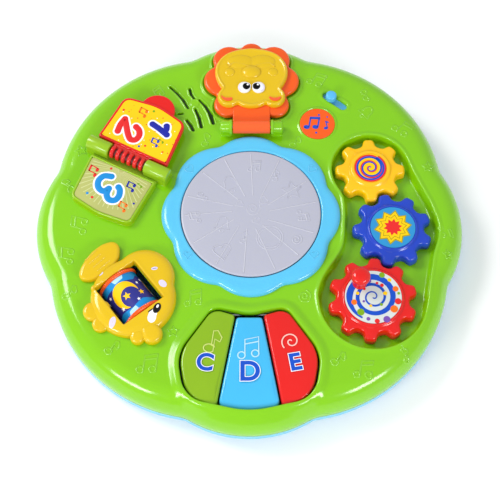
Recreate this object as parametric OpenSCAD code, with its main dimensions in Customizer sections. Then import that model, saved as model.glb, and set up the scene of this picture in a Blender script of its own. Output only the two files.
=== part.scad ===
// Musical activity table, lying on its tray with the legs off.
// A scalloped play deck carries a drum pad, three piano keys, three meshed gears, a lift-up lion,
// a turning book page, a picture roller in a fish, a slide switch and a speaker grille.
// +X is to the right, +Y away from the keys, +Z up. The origin is on the resting face, mid table.
// Closed outlines run anticlockwise.

/* [Table] */
// Radius over the lobes
table_r = 230; // [228:1:234]
// How far the notches between lobes cut in
notch_depth = 9.5; // [7:0.5:10.5]
// Height of the deck
deck_z = 50; // [50:0.5:51]
// Height of the seam between shell and tray
seam_z = 18; // [17:0.5:19]
// Wall thickness of the shell and the tray
wall = 2.8; // [2.4:0.1:3]
// Width of the rounded shoulder
shoulder_w = 22; // [18:1:24]
// Height of the rounded shoulder
shoulder_h = 26; // [22:1:28]
// How far the tray steps in below its rim
tray_inset = 9; // [6:1:10]
// Height of the tray's step
tray_step_z = 9; // [8:0.5:10]
// Thickness of the tray's floor
floor_t = 3; // [2.6:0.1:3]

/* [Drum] */
// Middle of the drum, left to right
drum_x = 1.6; // [1:0.2:2]
// Middle of the drum, front to back
drum_y = 5.5; // [5:0.5:6]
// Radius of the pad
pad_r = 74.3; // [73:0.1:75]
// Gap between the pad and its ring
pad_gap = 0.6; // [0.5:0.1:1]
// Top of the pad
pad_top_z = 56; // [55.8:0.1:56.5]
// Radius of the ring over its lobes
ring_r = 95.5; // [94:0.5:97]
// Radius of the guide opening in the deck
pad_guide_r = 64.4; // [63:0.2:65]

/* [Keys] */
// Gap between a key and the shell
key_gap = 0.8; // [0.6:0.1:1]
// Height of the keys' tops above the deck
key_rise = 0.6; // [0:0.1:1]
// Distance of the keys' rod in front of the middle
key_rod_y = 106; // [105.5:0.1:106.5]
// Height of the keys' rod
key_rod_z = 41; // [40.5:0.1:41.2]
// Radius of the keys' rod
key_rod_r = 1.5; // [1.3:0.1:1.8]

/* [Gears] */
// Module of the gears
gear_module = 8.8; // [8.7:0.05:8.85]
// Teeth of the yellow gear
yellow_teeth = 8; // [8]
// Teeth of the blue gear
blue_teeth = 9; // [9]
// Teeth of the red gear
red_teeth = 10; // [10]
// Backlash between teeth
backlash = 1; // [0.8:0.1:1.4]
// Height of the teeth's tops
gear_top_z = 50.4; // [50:0.1:51]
// Height of the well's floor
well_z = 37; // [36.5:0.1:37.5]
// Radius of the gear posts
post_r = 6; // [5.5:0.1:6.5]

/* [Lion] */
// Middle of the lion, left to right
lion_x = 2.3; // [2:0.1:2.6]
// Distance of the lion's hinge behind the middle
lion_pin_y = 107.9; // [107.5:0.1:108.5]
// Height of the lion's hinge
lion_pin_z = 59.5; // [59:0.1:60]
// Radius of the lion's hinge barrel
lion_barrel_r = 7; // [6.5:0.1:7.2]
// Length of the lion's hinge barrel
lion_barrel_l = 41; // [39:0.5:42]
// Radius of the lion's hinge pin
lion_pin_r = 1.5; // [1.3:0.1:2]

/* [Book] */
// Middle of the book's hinge, left to right
book_x = -130.5; // [-131.5:0.5:-130]
// Middle of the book's hinge, front to back
book_y = 67.9; // [67:0.1:68.6]
// Turn of the book's hinge
book_turn = -26.4; // [-27.4:0.2:-25.4]
// Height of the book's hinge
book_pin_z = 61; // [60.5:0.1:61.5]
// Thickness of the page
page_t = 6; // [5:0.1:6.2]
// Radius of the book's hinge pin
book_pin_r = 1.5; // [1.3:0.1:2]

/* [Fish] */
// Middle of the roller, left to right
roller_x = -124.1; // [-124.5:0.1:-123.5]
// Middle of the roller, front to back
roller_y = -88.2; // [-88.6:0.1:-87.8]
// Turn of the roller's axle
roller_turn = -52; // [-53:0.5:-51]
// Height of the roller's axle
roller_z = 38; // [37.6:0.1:38.2]
// Radius of the roller's flanges
roller_r = 23.5; // [23:0.1:23.6]
// Length of the roller
roller_l = 50; // [48:0.2:50.4]
// Radius of the roller's axle
axle_r = 2; // [1.6:0.1:2.4]
// Height of the fish's back
fish_top_z = 60; // [59.5:0.1:60.5]

/* [Switch] */
// Middle of the slot, left to right
switch_x = 95.2; // [95:0.1:95.6]
// Middle of the slot, front to back
switch_y = 147.2; // [146.8:0.1:147.6]
// Turn of the slot
switch_turn = -38; // [-40:1:-36]
// Travel of the knob
switch_travel = 11; // [8:0.5:12]
// Radius of the knob
switch_knob_r = 6; // [5.5:0.1:6.4]

/* [Legs and screws] */
// Radius of the leg sockets
socket_r = 14.15; // [13:0.05:15]
// Depth of the leg sockets
socket_depth = 24; // [20:1:25]
// Distance of the sockets from the middle, left to right
socket_x = 120; // [118:1:121]
// Distance of the sockets from the middle, front to back
socket_y = 145; // [144:1:146]
// Radius of the circle of the case screws
case_screw_r = 200; // [199:0.5:201]
// Radius of an AA cell
cell_r = 7.2; // [7:0.05:7.25]
// Length of an AA cell
cell_l = 50.5; // [49.5:0.1:50.5]
// Radial clearance of running fits
running_fit = 0.05; // [0.03:0.01:0.1]
// Clearance between pieces that pass each other
pass_fit = 0.3; // [0.2:0.05:0.4]

/* [Hidden] */

under_z = deck_z - wall;
notch_r = table_r - notch_depth;
notch_angle = 17.5;
eps = 0.01;
// Share of a rounded slot's width that its straight sides keep, so they cut its end circles cleanly
slot_side_share = 0.99;

// Gear train, from the red gear backwards
pressure_angle = 25;
addendum = 3.4;
dedendum = 5.3;
tooth_steps = 5;
red_pos = [128.2, -90.5];
red_to_blue = 73.3;
blue_pos = red_pos + gear_module * (red_teeth + blue_teeth) / 2 * [cos(red_to_blue), sin(red_to_blue)];
blue_to_yellow = 106.3;
yellow_pos = blue_pos + gear_module * (blue_teeth + yellow_teeth) / 2
    * [cos(blue_to_yellow), sin(blue_to_yellow)];
// Turn of each gear that puts a tooth of one in a gap of the next
red_turn = 13;
blue_turn = mesh_turn(red_turn, red_teeth, blue_teeth, red_to_blue);
yellow_turn = mesh_turn(blue_turn, blue_teeth, yellow_teeth, blue_to_yellow);
gear_foot_z = well_z + pass_fit;
post_top_z = well_z + 10;
disc_t = 0.8;
disc_z = gear_top_z + 1.2;
knob_at = [-13.6, 15.6];
knob_r = 10;
knob_foot_z = disc_z + disc_t + pass_fit;
knob_top_z = 75;
crank_pin_r = 2.5;

gear_at = [yellow_pos, blue_pos, red_pos];
yellow_disc_r = 17.4;
blue_disc_r = 24;
red_disc_r = 29.6;
gear_screw_r = 1.25;

// Lion
mane_z = deck_z + 2;
face_z = lion_pin_z - 1.5;
face_top_z = face_z + 6;
lug_l = 13;
lion_pin_half = lion_barrel_l / 2 + lug_l - 1;
eye_r = 7;
eye_y = 156.3;
eye_at = [[lion_x - 7.9, eye_y], [lion_x + 7.9, eye_y]];

page_z = book_pin_z - page_t / 2;
frame_top_z = page_z - pass_fit;
tray_top_z = deck_z + 7;
tube_r = 8;
page_barrel = [-22, 20.4];
book_pin_half = 47;
frame_screw_at = [[-28, -40], [28, -40], [-28, 45], [28, 45]];

ear_t = 2.2;
flange_t = 4;
ear_x = roller_l / 2 + 1;
roller_core_r = roller_r - 2.2;

key_rod_l = 108;
rod_bracket_x = [-52, -11.5, 11.5, 52];
key_top_z = deck_z + key_rise;
key_skirt_z = 41.5;
key_wall = 2.2;
board_z = 22;
board_t = 1.6;
dome_h = 10;
dome_y = 168;
dome_x = 38;
dome_top_z = board_z + board_t + dome_h;
drum_board_z = 34;
pad_skirt_z = 40;
spring_foot_z = 30;
retainer_r = pad_guide_r + 2.9;
spring_at_r = pad_guide_r - 14.4;
spring_r = 5;
spring_wire_r = 0.5;
spring_turns = 5;

slider_z = under_z - pass_fit - 2.4;
slide_switch_z = 39;
slot_half = switch_travel;
switch_rest = -switch_travel / 2;

speaker_at = [-64, 140];
speaker_back_z = 32;
speaker_screw_at = [for (a = [45, 165, 285]) speaker_at + polar(23, a)];
badge_at = [75, 117.4];
badge_r = 19.3;
box_at = [2, 142];
cell_pitch = 15.2;
cell_z = 3 + 1.2 + cell_r;
box_l = cell_l + 9;
box_w = 3 * cell_pitch + 3;
box_top_z = cell_z + cell_r + 3;
door_screw_at = [box_at.x + box_l / 2 + 7, box_at.y];
case_screw_r1 = 1.5;
case_head_z = 14;
cover_screw_r = 1.5;
small_screw_r = 1;
grip_fit = 0.02;
fish_screw_at = [roller_point([-24, 34]), roller_point([24, -30]), roller_point([34, 22])];
case_screw_at = [for (k = [0:7]) polar(case_screw_r, 22.5 + 45 * k)];
cover_screw_at = concat(
    [for (k = [0:3]) [drum_x, drum_y] + polar(84, 45 + 90 * k)],
    [for (p = frame_screw_at) book_point(p)],
    fish_screw_at);
socket_at = [for (sx = [-1, 1], sy = [-1, 1]) [sx * socket_x, sy * socket_y]];
pad_screw_at = [for (k = [0:3]) polar(pad_guide_r - 2.2, 45 + 90 * k)];
board_post_at = [for (sx = [-1, 1], y = [-194, -132]) [sx * 46, y]];

function polar(r, a) = r * [cos(a), sin(a)];
function turned(p, a) = [p.x * cos(a) - p.y * sin(a), p.x * sin(a) + p.y * cos(a)];
function book_point(p) = [book_x, book_y] + turned(p, book_turn);
function switch_point(p) = [switch_x, switch_y] + turned(p, switch_turn);
function roller_point(p) = [roller_x, roller_y] + turned(p, roller_turn);
// Turn of the next gear along way that sets its gap on this gear's tooth
function mesh_turn(turn, teeth, next_teeth, way) =
    way + 180 + 180 / next_teeth - (turn - way) * teeth / next_teeth;

// Centre of the arc through a lobe's top and its two notches
function lobe_centre(top_r, low_r, half) = (top_r ^ 2 - low_r ^ 2) / (2 * (top_r - low_r * cos(half)));

// Quarter of an ellipse, as points
function quarter(cx, cz, a, b, n = 5) = [for (i = [0:n]) [cx + a * cos(90 * i / n), cz + b * sin(90 * i / n)]];

// Arc of radius r that rounds corner b between its neighbours a and c
function corner(a, b, c, r, n) = let (
    u = (a - b) / norm(a - b),
    w = (c - b) / norm(c - b),
    half = acos(u * w) / 2,
    centre = b + (u + w) / norm(u + w) * r / sin(half),
    p = b + u * r / tan(half) - centre,
    q = b + w * r / tan(half) - centre,
    from = atan2(p.y, p.x),
    sweep = (atan2(q.y, q.x) - from + 540) % 360 - 180)
    [for (i = [0:n]) centre + polar(r, from + sweep * i / n)];

// Closed outline with each corner rounded by its own radius
function rounded(points, radii, n = 4) = let (count = len(points))
    [for (i = [0:count - 1])
        each corner(points[(i + count - 1) % count], points[i], points[(i + 1) % count], radii[i], n)];

// Closed anticlockwise outline moved outwards by g
function grown(points, g) = let (count = len(points))
    [for (i = [0:count - 1]) let (
        a = points[(i + count - 1) % count],
        b = points[i],
        c = points[(i + 1) % count],
        m = [b.y - a.y, a.x - b.x] / norm(b - a),
        k = [c.y - b.y, b.x - c.x] / norm(c - b))
        b + (m + k) * g / (1 + m * k)];
function mirrored(points) = [for (i = [len(points) - 1:-1:0]) [-points[i].x, points[i].y]];

// Involute tooth outline: one flank from root to tip, as radius and angle
function involute(a) = tan(a) * 180 / PI - a;
function flank(teeth) = let (
    pitch = gear_module * teeth / 2,
    base = pitch * cos(pressure_angle),
    half = 90 / teeth - backlash / 2 / pitch * 180 / PI / 2,
    tip = pitch + addendum)
    [for (i = [0:tooth_steps]) let (r = base + (tip - base) * i / tooth_steps)
        [r, half + involute(pressure_angle) - involute(acos(base / r))]];
function gear_outline(teeth) = let (
    side = flank(teeth),
    root = gear_module * teeth / 2 - dedendum)
    [for (k = [0:teeth - 1]) let (mid = 360 * k / teeth) each concat(
        [polar(root, mid - side[0][1] - 1.2)],
        [for (i = [0:tooth_steps]) polar(side[i][0], mid - side[i][1])],
        [for (i = [tooth_steps:-1:0]) polar(side[i][0], mid + side[i][1])],
        [polar(root, mid + side[0][1] + 1.2)])];

// Outlines moved outwards by g
function outline(corners, radii, g) = rounded(grown(corners, g), [for (r = radii) max(r + g, 0.6)]);
function blue_key_points(g) = outline(
    [[-13.2, -112], [-31.2, -207], [0, -212], [31.2, -207], [13.2, -112]], [3, 6, 80, 6, 3], g);
function lime_key_points(g) = outline(
    [[-14.7, -109.5], [-38, -102.5], [-72, -152], [-64, -196], [-33.2, -208.5]], [3, 14, 40, 30, 4], g);
function red_key_points(g) = mirrored(lime_key_points(g));
function key_ridge_points(g) = outline(
    [[0, -108], [-38, -101], [-74, -152], [-66, -199], [0, -214], [66, -199], [74, -152], [38, -101]],
    [40, 14, 40, 30, 90, 30, 40, 14], g);
function page_points(g) = outline(
    [[-42.6, 9.4], [42, 9.4], [36, 64.7], [-1, 72.2], [-40, 66.2]], [1.5, 1.5, 10, 60, 10], g);
function tray_points(g) = outline(
    [[39, -11.2], [-40, -11.2], [-35.5, -66], [0, -71.6], [38, -67.6]], [1.5, 1.5, 8, 60, 8], g);
well_fill = [[100.5, -29.6], [86, -59.7], [72.5, -85.8], [128, -120], [184, -91], [196, -24.3],
    [193.5, 18.8], [173, 65.5], [133, 80], [93.2, 71.7], [103.3, 22.6], [103.2, -3]];

module lobed(top_r, low_r, half, inset) {
    small = lobe_centre(top_r, low_r, half);
    big = lobe_centre(top_r, low_r, 45 - half);
    for (k = [0:3]) {
        rotate(90 * k) translate([small, 0]) circle(r = top_r - small - inset, $fn = 96);
        rotate(90 * k + 45) translate([big, 0]) circle(r = top_r - big - inset, $fn = 96);
    }
}
module table_outline(inset) lobed(table_r, notch_r, notch_angle, inset);

// Lobed disc with a rounded shoulder; drop lowers its foot and lift raises its top
module dome(inset, drop, lift = 0) intersection() {
    translate([0, 0, seam_z - drop])
        linear_extrude(deck_z + lift - inset - seam_z + drop) table_outline(inset);
    rotate_extrude($fn = 96) polygon(concat(
        [[0, seam_z - drop - 1], [table_r + 5, seam_z - drop - 1]],
        quarter(table_r + 0.3 - shoulder_w, deck_z - shoulder_h, shoulder_w + 0.1 - inset,
            shoulder_h + lift - inset),
        [[0, deck_z + lift - inset]]));
}
module prism(points, from, to) translate([0, 0, from]) linear_extrude(to - from) polygon(points);
module rod(p, r, from, to, fn = 48) translate([p.x, p.y, from]) cylinder(r = r, h = to - from, $fn = fn);
module rod_x(x0, x1, y, z, r, fn = 48)
    translate([x0, y, z]) rotate([0, 90, 0]) cylinder(r = r, h = x1 - x0, $fn = fn);
module capsule(p, q, r) {
    translate(p) circle(r = r, $fn = 32);
    translate(q) circle(r = r, $fn = 32);
    translate((p + q) / 2) rotate(atan2(q.y - p.y, q.x - p.x))
        square([norm(q - p), 2 * r * slot_side_share], center = true);
}
module at_drum() translate([drum_x, drum_y, 0]) children();
module at_book() translate([book_x, book_y, 0]) rotate(book_turn) children();
module at_roller() translate([roller_x, roller_y, 0]) rotate(roller_turn) children();
module at_switch() translate([switch_x, switch_y, 0]) rotate(switch_turn) children();

module well_outline(grow) {
    translate(yellow_pos) circle(r = 42 + grow, $fn = 96);
    translate(blue_pos) circle(r = 49 + grow, $fn = 96);
    translate(red_pos) circle(r = 56 + grow, $fn = 96);
    polygon(grown(well_fill, grow));
}
module key_opening() {
    polygon(lime_key_points(key_gap));
    polygon(blue_key_points(key_gap));
    polygon(red_key_points(key_gap));
    for (side = [-1, 1])
        polygon([[side * 11, -114], [side * 28, -206], [side * 35, -206], [side * 18, -114]]);
}
module speaker_slots() {
    capsule([-88.8, 165.6], [-74, 147.5], 1.6);
    capsule([-74, 147.5], [-67.6, 137.2], 1.9);
    capsule([-66.2, 162.5], [-62, 150.5], 1.9);
    capsule([-55, 148], [-44.5, 133.5], 1.9);
    capsule([-44.5, 133.5], [-38.8, 117.5], 2.3);
    capsule([-78.3, 130.8], [-74, 130.2], 1.4);
    capsule([-68.5, 122.4], [-61.8, 110.3], 2.2);
    capsule([-59.4, 136.5], [-53, 113.5], 2.2);
}
module fish_outline(grow) {
    translate([-120, -91.4]) circle(r = 44.4 + grow, $fn = 64);
    translate([-109, -68.6]) circle(r = 31.5 + grow, $fn = 64);
    capsule([-166, -61], [-149.5, -41], 13 + grow);
    capsule([-150, -60], [-140, -70], 9 + grow);
    translate([-160.8, -107.2]) circle(r = 10.4 + grow, $fn = 32);
    translate([-152.4, -120.8]) circle(r = 8.8 + grow, $fn = 32);
    translate([-114, -135.6]) circle(r = 7.6 + grow, $fn = 32);
    translate([-99.2, -132]) circle(r = 10.8 + grow, $fn = 32);
}
module mane_outline(grow) translate([lion_x, 0]) {
    translate([0, 170]) circle(r = 42 + grow, $fn = 64);
    translate([0, 206]) circle(r = 13.5 + grow, $fn = 32);
    for (side = [-1, 1]) {
        translate([side * 25, 197]) circle(r = 18 + grow, $fn = 32);
        translate([side * 34, 170]) circle(r = 19 + grow, $fn = 32);
        translate([side * 26, 139]) circle(r = 15.5 + grow, $fn = 32);
    }
}
module face_outline(grow) translate([lion_x, 0]) {
    translate([0, 173]) circle(r = 36 + grow, $fn = 64);
    translate([0, 158]) circle(r = 26 + grow, $fn = 64);
    for (side = [-1, 1]) {
        translate([side * 12, 178]) circle(r = 28.5 + grow, $fn = 64);
        translate([side * 25, 146]) circle(r = 12.5 + grow, $fn = 32);
    }
}

// Self-tapping screw, pointing up from its head's top face at the origin
module screw(head_r, head_h, shank_r, shank_l) {
    translate([0, 0, -head_h]) cylinder(r = head_r, h = head_h, $fn = 32);
    cylinder(r = shank_r, h = shank_l, $fn = 32);
}
// Coil spring standing on the origin
module coil(r, wire_r, turns, h, steps = 14, sides = 6) {
    rings = turns * steps;
    function at(i) = let (a = 360 * i / steps)
        [r * cos(a), r * sin(a), wire_r + (h - 2 * wire_r) * i / rings];
    points = [for (i = [0:rings], j = [0:sides - 1]) let (a = 360 * i / steps, b = 360 * j / sides)
        at(i) + wire_r * [cos(b) * cos(a), cos(b) * sin(a), sin(b)]];
    skin = [for (i = [0:rings - 1], j = [0:sides - 1]) let (k = (j + 1) % sides)
        [i * sides + j, i * sides + k, (i + 1) * sides + k, (i + 1) * sides + j]];
    polyhedron(concat(points), concat(skin, [[for (j = [sides - 1:-1:0]) j]],
        [[for (j = [0:sides - 1]) rings * sides + j]]));
}
// Rubber dome standing on height z, hollow inside
module rubber_dome(p, z, foot_r, top_r, h) translate([p.x, p.y, z]) rotate_extrude($fn = 48)
    polygon([[foot_r - 1, 0], [foot_r + 1.5, 0], [foot_r + 1.5, 0.8], [foot_r, 0.8], [top_r, h], [0, h],
        [0, h - 1.4], [top_r - 1, h - 1.4]]);
// Thin tube through a list of points, none of its runs along the side direction
module wire(points, side = [1, 0, 0], r = 0.8, sides = 8) {
    last = len(points) - 1;
    function way(i) = let (d = points[min(i + 1, last)] - points[i], e = points[i] - points[max(i - 1, 0)],
        f = (i == 0) ? d / norm(d) : (i == last) ? e / norm(e) : d / norm(d) + e / norm(e)) f / norm(f);
    function out(i) = let (v = side - way(i) * (side * way(i))) v / norm(v);
    rings = [for (i = [0:last], j = [0:sides - 1]) let (a = 360 * j / sides)
        points[i] + r * (cos(a) * out(i) + sin(a) * cross(way(i), out(i)))];
    skin = [for (i = [0:last - 1], j = [0:sides - 1]) let (k = (j + 1) % sides)
        [i * sides + j, (i + 1) * sides + j, (i + 1) * sides + k, i * sides + k]];
    polyhedron(rings, concat(skin, [[for (j = [0:sides - 1]) j]],
        [[for (j = [sides - 1:-1:0]) last * sides + j]]));
}

module top_shell() color("yellowgreen") difference() {
    union() {
        difference() {
            union() {
                dome(0, 0);
                intersection() {
                    translate([0, 0, deck_z - 20]) linear_extrude(23) polygon(key_ridge_points(9));
                    dome(0, 0, 3);
                }
                translate([0, 0, deck_z - 2]) linear_extrude(3.2) well_outline(3);
            }
            dome(wall, 1);
        }
        translate([0, 0, well_z - 2.5]) linear_extrude(deck_z - well_z) well_outline(2.5);
        for (p = case_screw_at) rod(p, 4, seam_z + 2, deck_z - 1);
        at_drum() difference() {
            rod([0, 0], retainer_r + 0.7, pad_skirt_z + pass_fit, deck_z - 1, 96);
            rod([0, 0], pad_guide_r, pad_skirt_z, deck_z, 96);
        }
        for (x = rod_bracket_x)
            translate([x - 1.8, -key_rod_y - 4, key_rod_z - 5]) cube([3.6, 10, deck_z - key_rod_z + 3]);
        for (side = [-1, 1]) lion_lug(side);
        for (side = [-1, 1]) at_switch() {
            translate([-31, side * 10 - 1.2, slider_z - 2]) cube([62, 2.4, 8]);
            rod([0, side * 13.4], 2.4, slide_switch_z, deck_z - 1);
        }
        translate([speaker_at.x, speaker_at.y, 0]) difference() {
            rod([0, 0], 28.5, under_z - 4, deck_z - 1, 64);
            rod([0, 0], 26.2, under_z - 5, deck_z, 64);
        }
    }
    at_drum() rod([0, 0], pad_guide_r, 30, deck_z + 20, 96);
    translate([0, 0, well_z]) linear_extrude(40) well_outline(0);
    translate([0, 0, 20]) linear_extrude(60) key_opening();
    translate([0, 0, under_z - 0.5]) linear_extrude(10) speaker_slots();
    at_roller() translate([-ear_x - ear_t - 0.6, -22.4, 20]) cube([2 * (ear_x + ear_t + 0.6), 44.8, 50]);
    at_switch() translate([0, 0, 30]) linear_extrude(40) capsule([-slot_half, 0], [slot_half, 0], 4.2);
    rod_x(lion_x - lion_pin_half, lion_x + lion_pin_half, lion_pin_y, lion_pin_z, lion_pin_r + grip_fit);
    rod_x(-key_rod_l / 2, key_rod_l / 2, -key_rod_y, key_rod_z, key_rod_r + grip_fit);
    for (p = case_screw_at) rod(p, case_screw_r1 + grip_fit, seam_z, 34);
    for (p = cover_screw_at) rod(p, 1.7, 40, deck_z + 6);
    for (p = speaker_screw_at) rod(p, small_screw_r + grip_fit, under_z - 5, deck_z - 1.2);
    rod(badge_at, badge_r + 0.3, deck_z - 1.2, deck_z + 20);
}
module lion_lug(side) translate([lion_x + side * (lion_barrel_l / 2 + lug_l / 2 + 0.4), lion_pin_y, 0]) {
    rod_x(-lug_l / 2, lug_l / 2, 0, lion_pin_z, 7.4);
    translate([-lug_l / 2, -5.4, deck_z - 1]) cube([lug_l, 12.8, lion_pin_z - deck_z + 1]);
}
module gear_posts() for (p = [yellow_pos, blue_pos, red_pos]) difference() {
    rod(p, post_r, well_z - 1, post_top_z);
    rod(p, gear_screw_r + grip_fit, well_z + 0.6, post_top_z + 1);
}
module deck_shell() color("yellowgreen") {
    top_shell();
    gear_posts();
}

module base_shell() color("lightblue") difference() {
    union() {
        difference() {
            union() {
                translate([0, 0, tray_step_z]) linear_extrude(seam_z - tray_step_z) table_outline(0.4);
                linear_extrude(tray_step_z + 1) table_outline(tray_inset);
                translate([0, 0, seam_z - 1]) linear_extrude(4) table_outline(wall + pass_fit);
            }
            translate([0, 0, floor_t]) linear_extrude(30) table_outline(tray_inset + wall);
            translate([0, 0, tray_step_z + wall]) linear_extrude(30) table_outline(2 * wall);
        }
        for (p = case_screw_at) rod(p, 4.6, 0, seam_z + 2);
        for (p = socket_at) rod(p, socket_r + 3, 0, socket_depth + 2);
        at_drum() for (k = [0:2]) rod(polar(spring_at_r, 90 + 120 * k), 7, floor_t - 1, spring_foot_z);
        at_drum() rod([0, 0], 6, floor_t - 1, drum_board_z);
        for (p = board_post_at) rod(p, 3.5, floor_t - 1, board_z);
        rod(door_screw_at, 4.2, floor_t - 1, 14);
        difference() {
            rod(door_screw_at, 9, floor_t - 1, floor_t + 2.4);
            translate([box_at.x, box_at.y, 0]) cube([box_l + 4.4, box_w, 30], center = true);
        }
    }
    for (p = case_screw_at) {
        rod(p, case_screw_r1 + 0.25, -1, seam_z + 3);
        rod(p, 3.6, -1, case_head_z);
    }
    for (p = socket_at) rod(p, socket_r, -1, socket_depth);
    at_drum() rod([0, 0], small_screw_r + grip_fit, drum_board_z - 8, drum_board_z + 1);
    for (p = board_post_at) rod(p, small_screw_r + grip_fit, board_z - 8, board_z + 1);
    rod(door_screw_at, case_screw_r1 + grip_fit, -1, 12);
    translate([0, 0, -1]) linear_extrude(floor_t + 1) door_outline(0.4);
}
module door_outline(grow) {
    translate(box_at) square([box_l + 0.8 + 2 * grow, box_w + 0.8 + 2 * grow], center = true);
    translate(door_screw_at) circle(r = 6 + grow, $fn = 32);
    translate([box_at.x + box_l / 2, box_at.y]) square([2 * (door_screw_at.x - box_at.x - box_l / 2),
        12 + 2 * grow], center = true);
}

module case_screws() color("silver") for (p = case_screw_at)
    translate([p.x, p.y, case_head_z]) screw(3.3, 2.4, case_screw_r1, 17);
module cover_screws() color("silver") for (p = cover_screw_at)
    translate([p.x, p.y, under_z]) screw(3, 2.2, cover_screw_r, 6.6);
module small_screws() color("silver") {
    for (p = board_post_at) translate([p.x, p.y, board_z + board_t]) mirror([0, 0, 1]) small_screw();
    at_drum() translate([0, 0, drum_board_z + board_t]) mirror([0, 0, 1]) small_screw();
    for (p = speaker_screw_at) translate([p.x, p.y, under_z - 1.2]) screw(2, 1.4, small_screw_r, 2.6);
}
module small_screw() screw(2, 1.4, small_screw_r, 7);

module drum_ring() color("skyblue") at_drum() difference() {
    union() {
        translate([0, 0, deck_z]) linear_extrude(3.5) lobed(ring_r, ring_r - 7.5, 22, 0);
        translate([0, 0, deck_z + 3.5]) linear_extrude(2) lobed(ring_r, ring_r - 7.5, 22, 1.6);
    }
    rod([0, 0], pad_r + pad_gap, deck_z - 1, deck_z + 10, 128);
    for (k = [0:3]) rod(polar(84, 45 + 90 * k), cover_screw_r + grip_fit, deck_z - 1, deck_z + 4.2);
}
module drum_pad() color("lavender") at_drum() difference() {
    union() {
        rod([0, 0], pad_r, pad_top_z - 3, pad_top_z, 128);
        difference() {
            rod([0, 0], pad_guide_r - 0.4, pad_skirt_z, pad_top_z - 2, 128);
            rod([0, 0], pad_guide_r - 4, pad_skirt_z - 1, pad_top_z - 3, 128);
        }
        rod([0, 0], 8, pad_top_z - 4, pad_top_z - 2);
    }
    for (p = pad_screw_at) rod(p, small_screw_r + grip_fit, pad_skirt_z - 1, pad_skirt_z + 7);
}
module pad_retainer() color("white") at_drum() difference() {
    rod([0, 0], retainer_r, pad_skirt_z - 2.4, pad_skirt_z, 96);
    rod([0, 0], pad_guide_r - 4, 30, 50, 96);
    for (p = pad_screw_at) rod(p, 1.2, 30, 50, 24);
}
module pad_screws() color("silver") at_drum() for (p = pad_screw_at)
    translate([p.x, p.y, pad_skirt_z - 2.4]) small_screw();
module drum_springs() color("silver") at_drum() for (k = [0:2]) let (p = polar(spring_at_r, 90 + 120 * k))
    translate([p.x, p.y, spring_foot_z]) coil(spring_r, spring_wire_r, spring_turns,
        pad_top_z - 3 - spring_foot_z);
module drum_dome() color("white")
    rubber_dome([drum_x, drum_y], drum_board_z + board_t, 9, 5, pad_top_z - 4 - drum_board_z - board_t - 0.1);
module drum_board() color("seagreen") at_drum() difference() {
    rod([0, 0], 14, drum_board_z, drum_board_z + board_t);
    rod([0, 0], small_screw_r + 0.2, 30, 40);
}

module key(outer, inner, hub, plunger_x) difference() {
    union() {
        difference() {
            intersection() {
                prism(outer, key_skirt_z, key_top_z);
                dome(0, 0, key_rise);
            }
            prism(inner, 30, key_top_z - 3);
        }
        translate([hub[0], -key_rod_y - 9, key_rod_z + 0.5]) cube([hub[1] - hub[0], 9, 3.6]);
        rod_x(hub[0], hub[1], -key_rod_y, key_rod_z, 4.2);
        rod([plunger_x, -dome_y], 3, dome_top_z + 0.1, key_top_z - 2);
    }
    rod_x(-80, 80, -key_rod_y, key_rod_z, key_rod_r + running_fit);
}
module key_lime() color("yellowgreen") 
    key(lime_key_points(0), lime_key_points(-key_wall), [-47, -15.6], -dome_x);
module key_blue() color("deepskyblue") 
    key(blue_key_points(0), blue_key_points(-key_wall), [-8.8, 8.8], 0);
module key_red() color("red") 
    key(red_key_points(0), red_key_points(-key_wall), [15.6, 47], dome_x);
module key_rod() color("silver") rod_x(-key_rod_l / 2, key_rod_l / 2, -key_rod_y, key_rod_z, key_rod_r);
module key_dome(x) color("white") rubber_dome([x, -dome_y], board_z + board_t, 6, 3.5, dome_h);
module key_dome_lime() key_dome(-dome_x);
module key_dome_blue() key_dome(0);
module key_dome_red() key_dome(dome_x);
module main_board() color("seagreen") difference() {
    translate([-52, -201, board_z]) cube([104, 76, board_t]);
    for (p = board_post_at) rod(p, small_screw_r + 0.2, board_z - 1, board_z + 5);
}
module board_parts() color("black") translate([0, 0, board_z + board_t]) {
    translate([18, -142, 0]) cylinder(r = 6, h = 1.6, $fn = 32);
    translate([-26, -132.2, 0]) cube([15, 6.2, 4.4]);
    for (x = [-24, -16]) translate([x, -145, 0]) cylinder(r = 2.5, h = 8, $fn = 24);
    for (k = [0:3]) translate([-8 + 4 * k, -190, 0]) cube([1.6, 3.2, 0.8]);
    translate([28, -136, 0]) cube([8, 6, 1.8]);
}

module gear(p, teeth, turn, rim_r, disc_r) translate([p.x, p.y, 0]) rotate(turn) difference() {
    union() {
        prism(gear_outline(teeth), gear_foot_z, gear_top_z);
        rod([0, 0], rim_r, gear_top_z - 2, disc_z + disc_t, 64);
    }
    rod([0, 0], post_r + running_fit, gear_foot_z - 1, post_top_z);
    rod([0, 0], 9.6, post_top_z - 0.2, disc_z + 1);
    rod([0, 0], disc_r + 0.1, disc_z, disc_z + 3, 64);
}
module gear_yellow() color("gold") gear(yellow_pos, yellow_teeth, yellow_turn, 21.5, yellow_disc_r);
module gear_blue() color("royalblue") gear(blue_pos, blue_teeth, blue_turn, 26.4, blue_disc_r);
module gear_red() color("red") difference() {
    gear(red_pos, red_teeth, red_turn, 32, red_disc_r);
    rod(red_pos + knob_at, crank_pin_r + grip_fit, 30, 60);
    rod(red_pos + knob_at, 4.8, 30, gear_foot_z + 2.3);
}
module disc(p, r) rod(p, r, disc_z, disc_z + disc_t, 64);
module disc_yellow() color("gold") disc(yellow_pos, yellow_disc_r);
module disc_blue() color("deepskyblue") disc(blue_pos, blue_disc_r);
module disc_red() color("white") difference() {
    disc(red_pos, red_disc_r);
    rod(red_pos + knob_at, crank_pin_r + 0.2, 30, 60);
}
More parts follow.
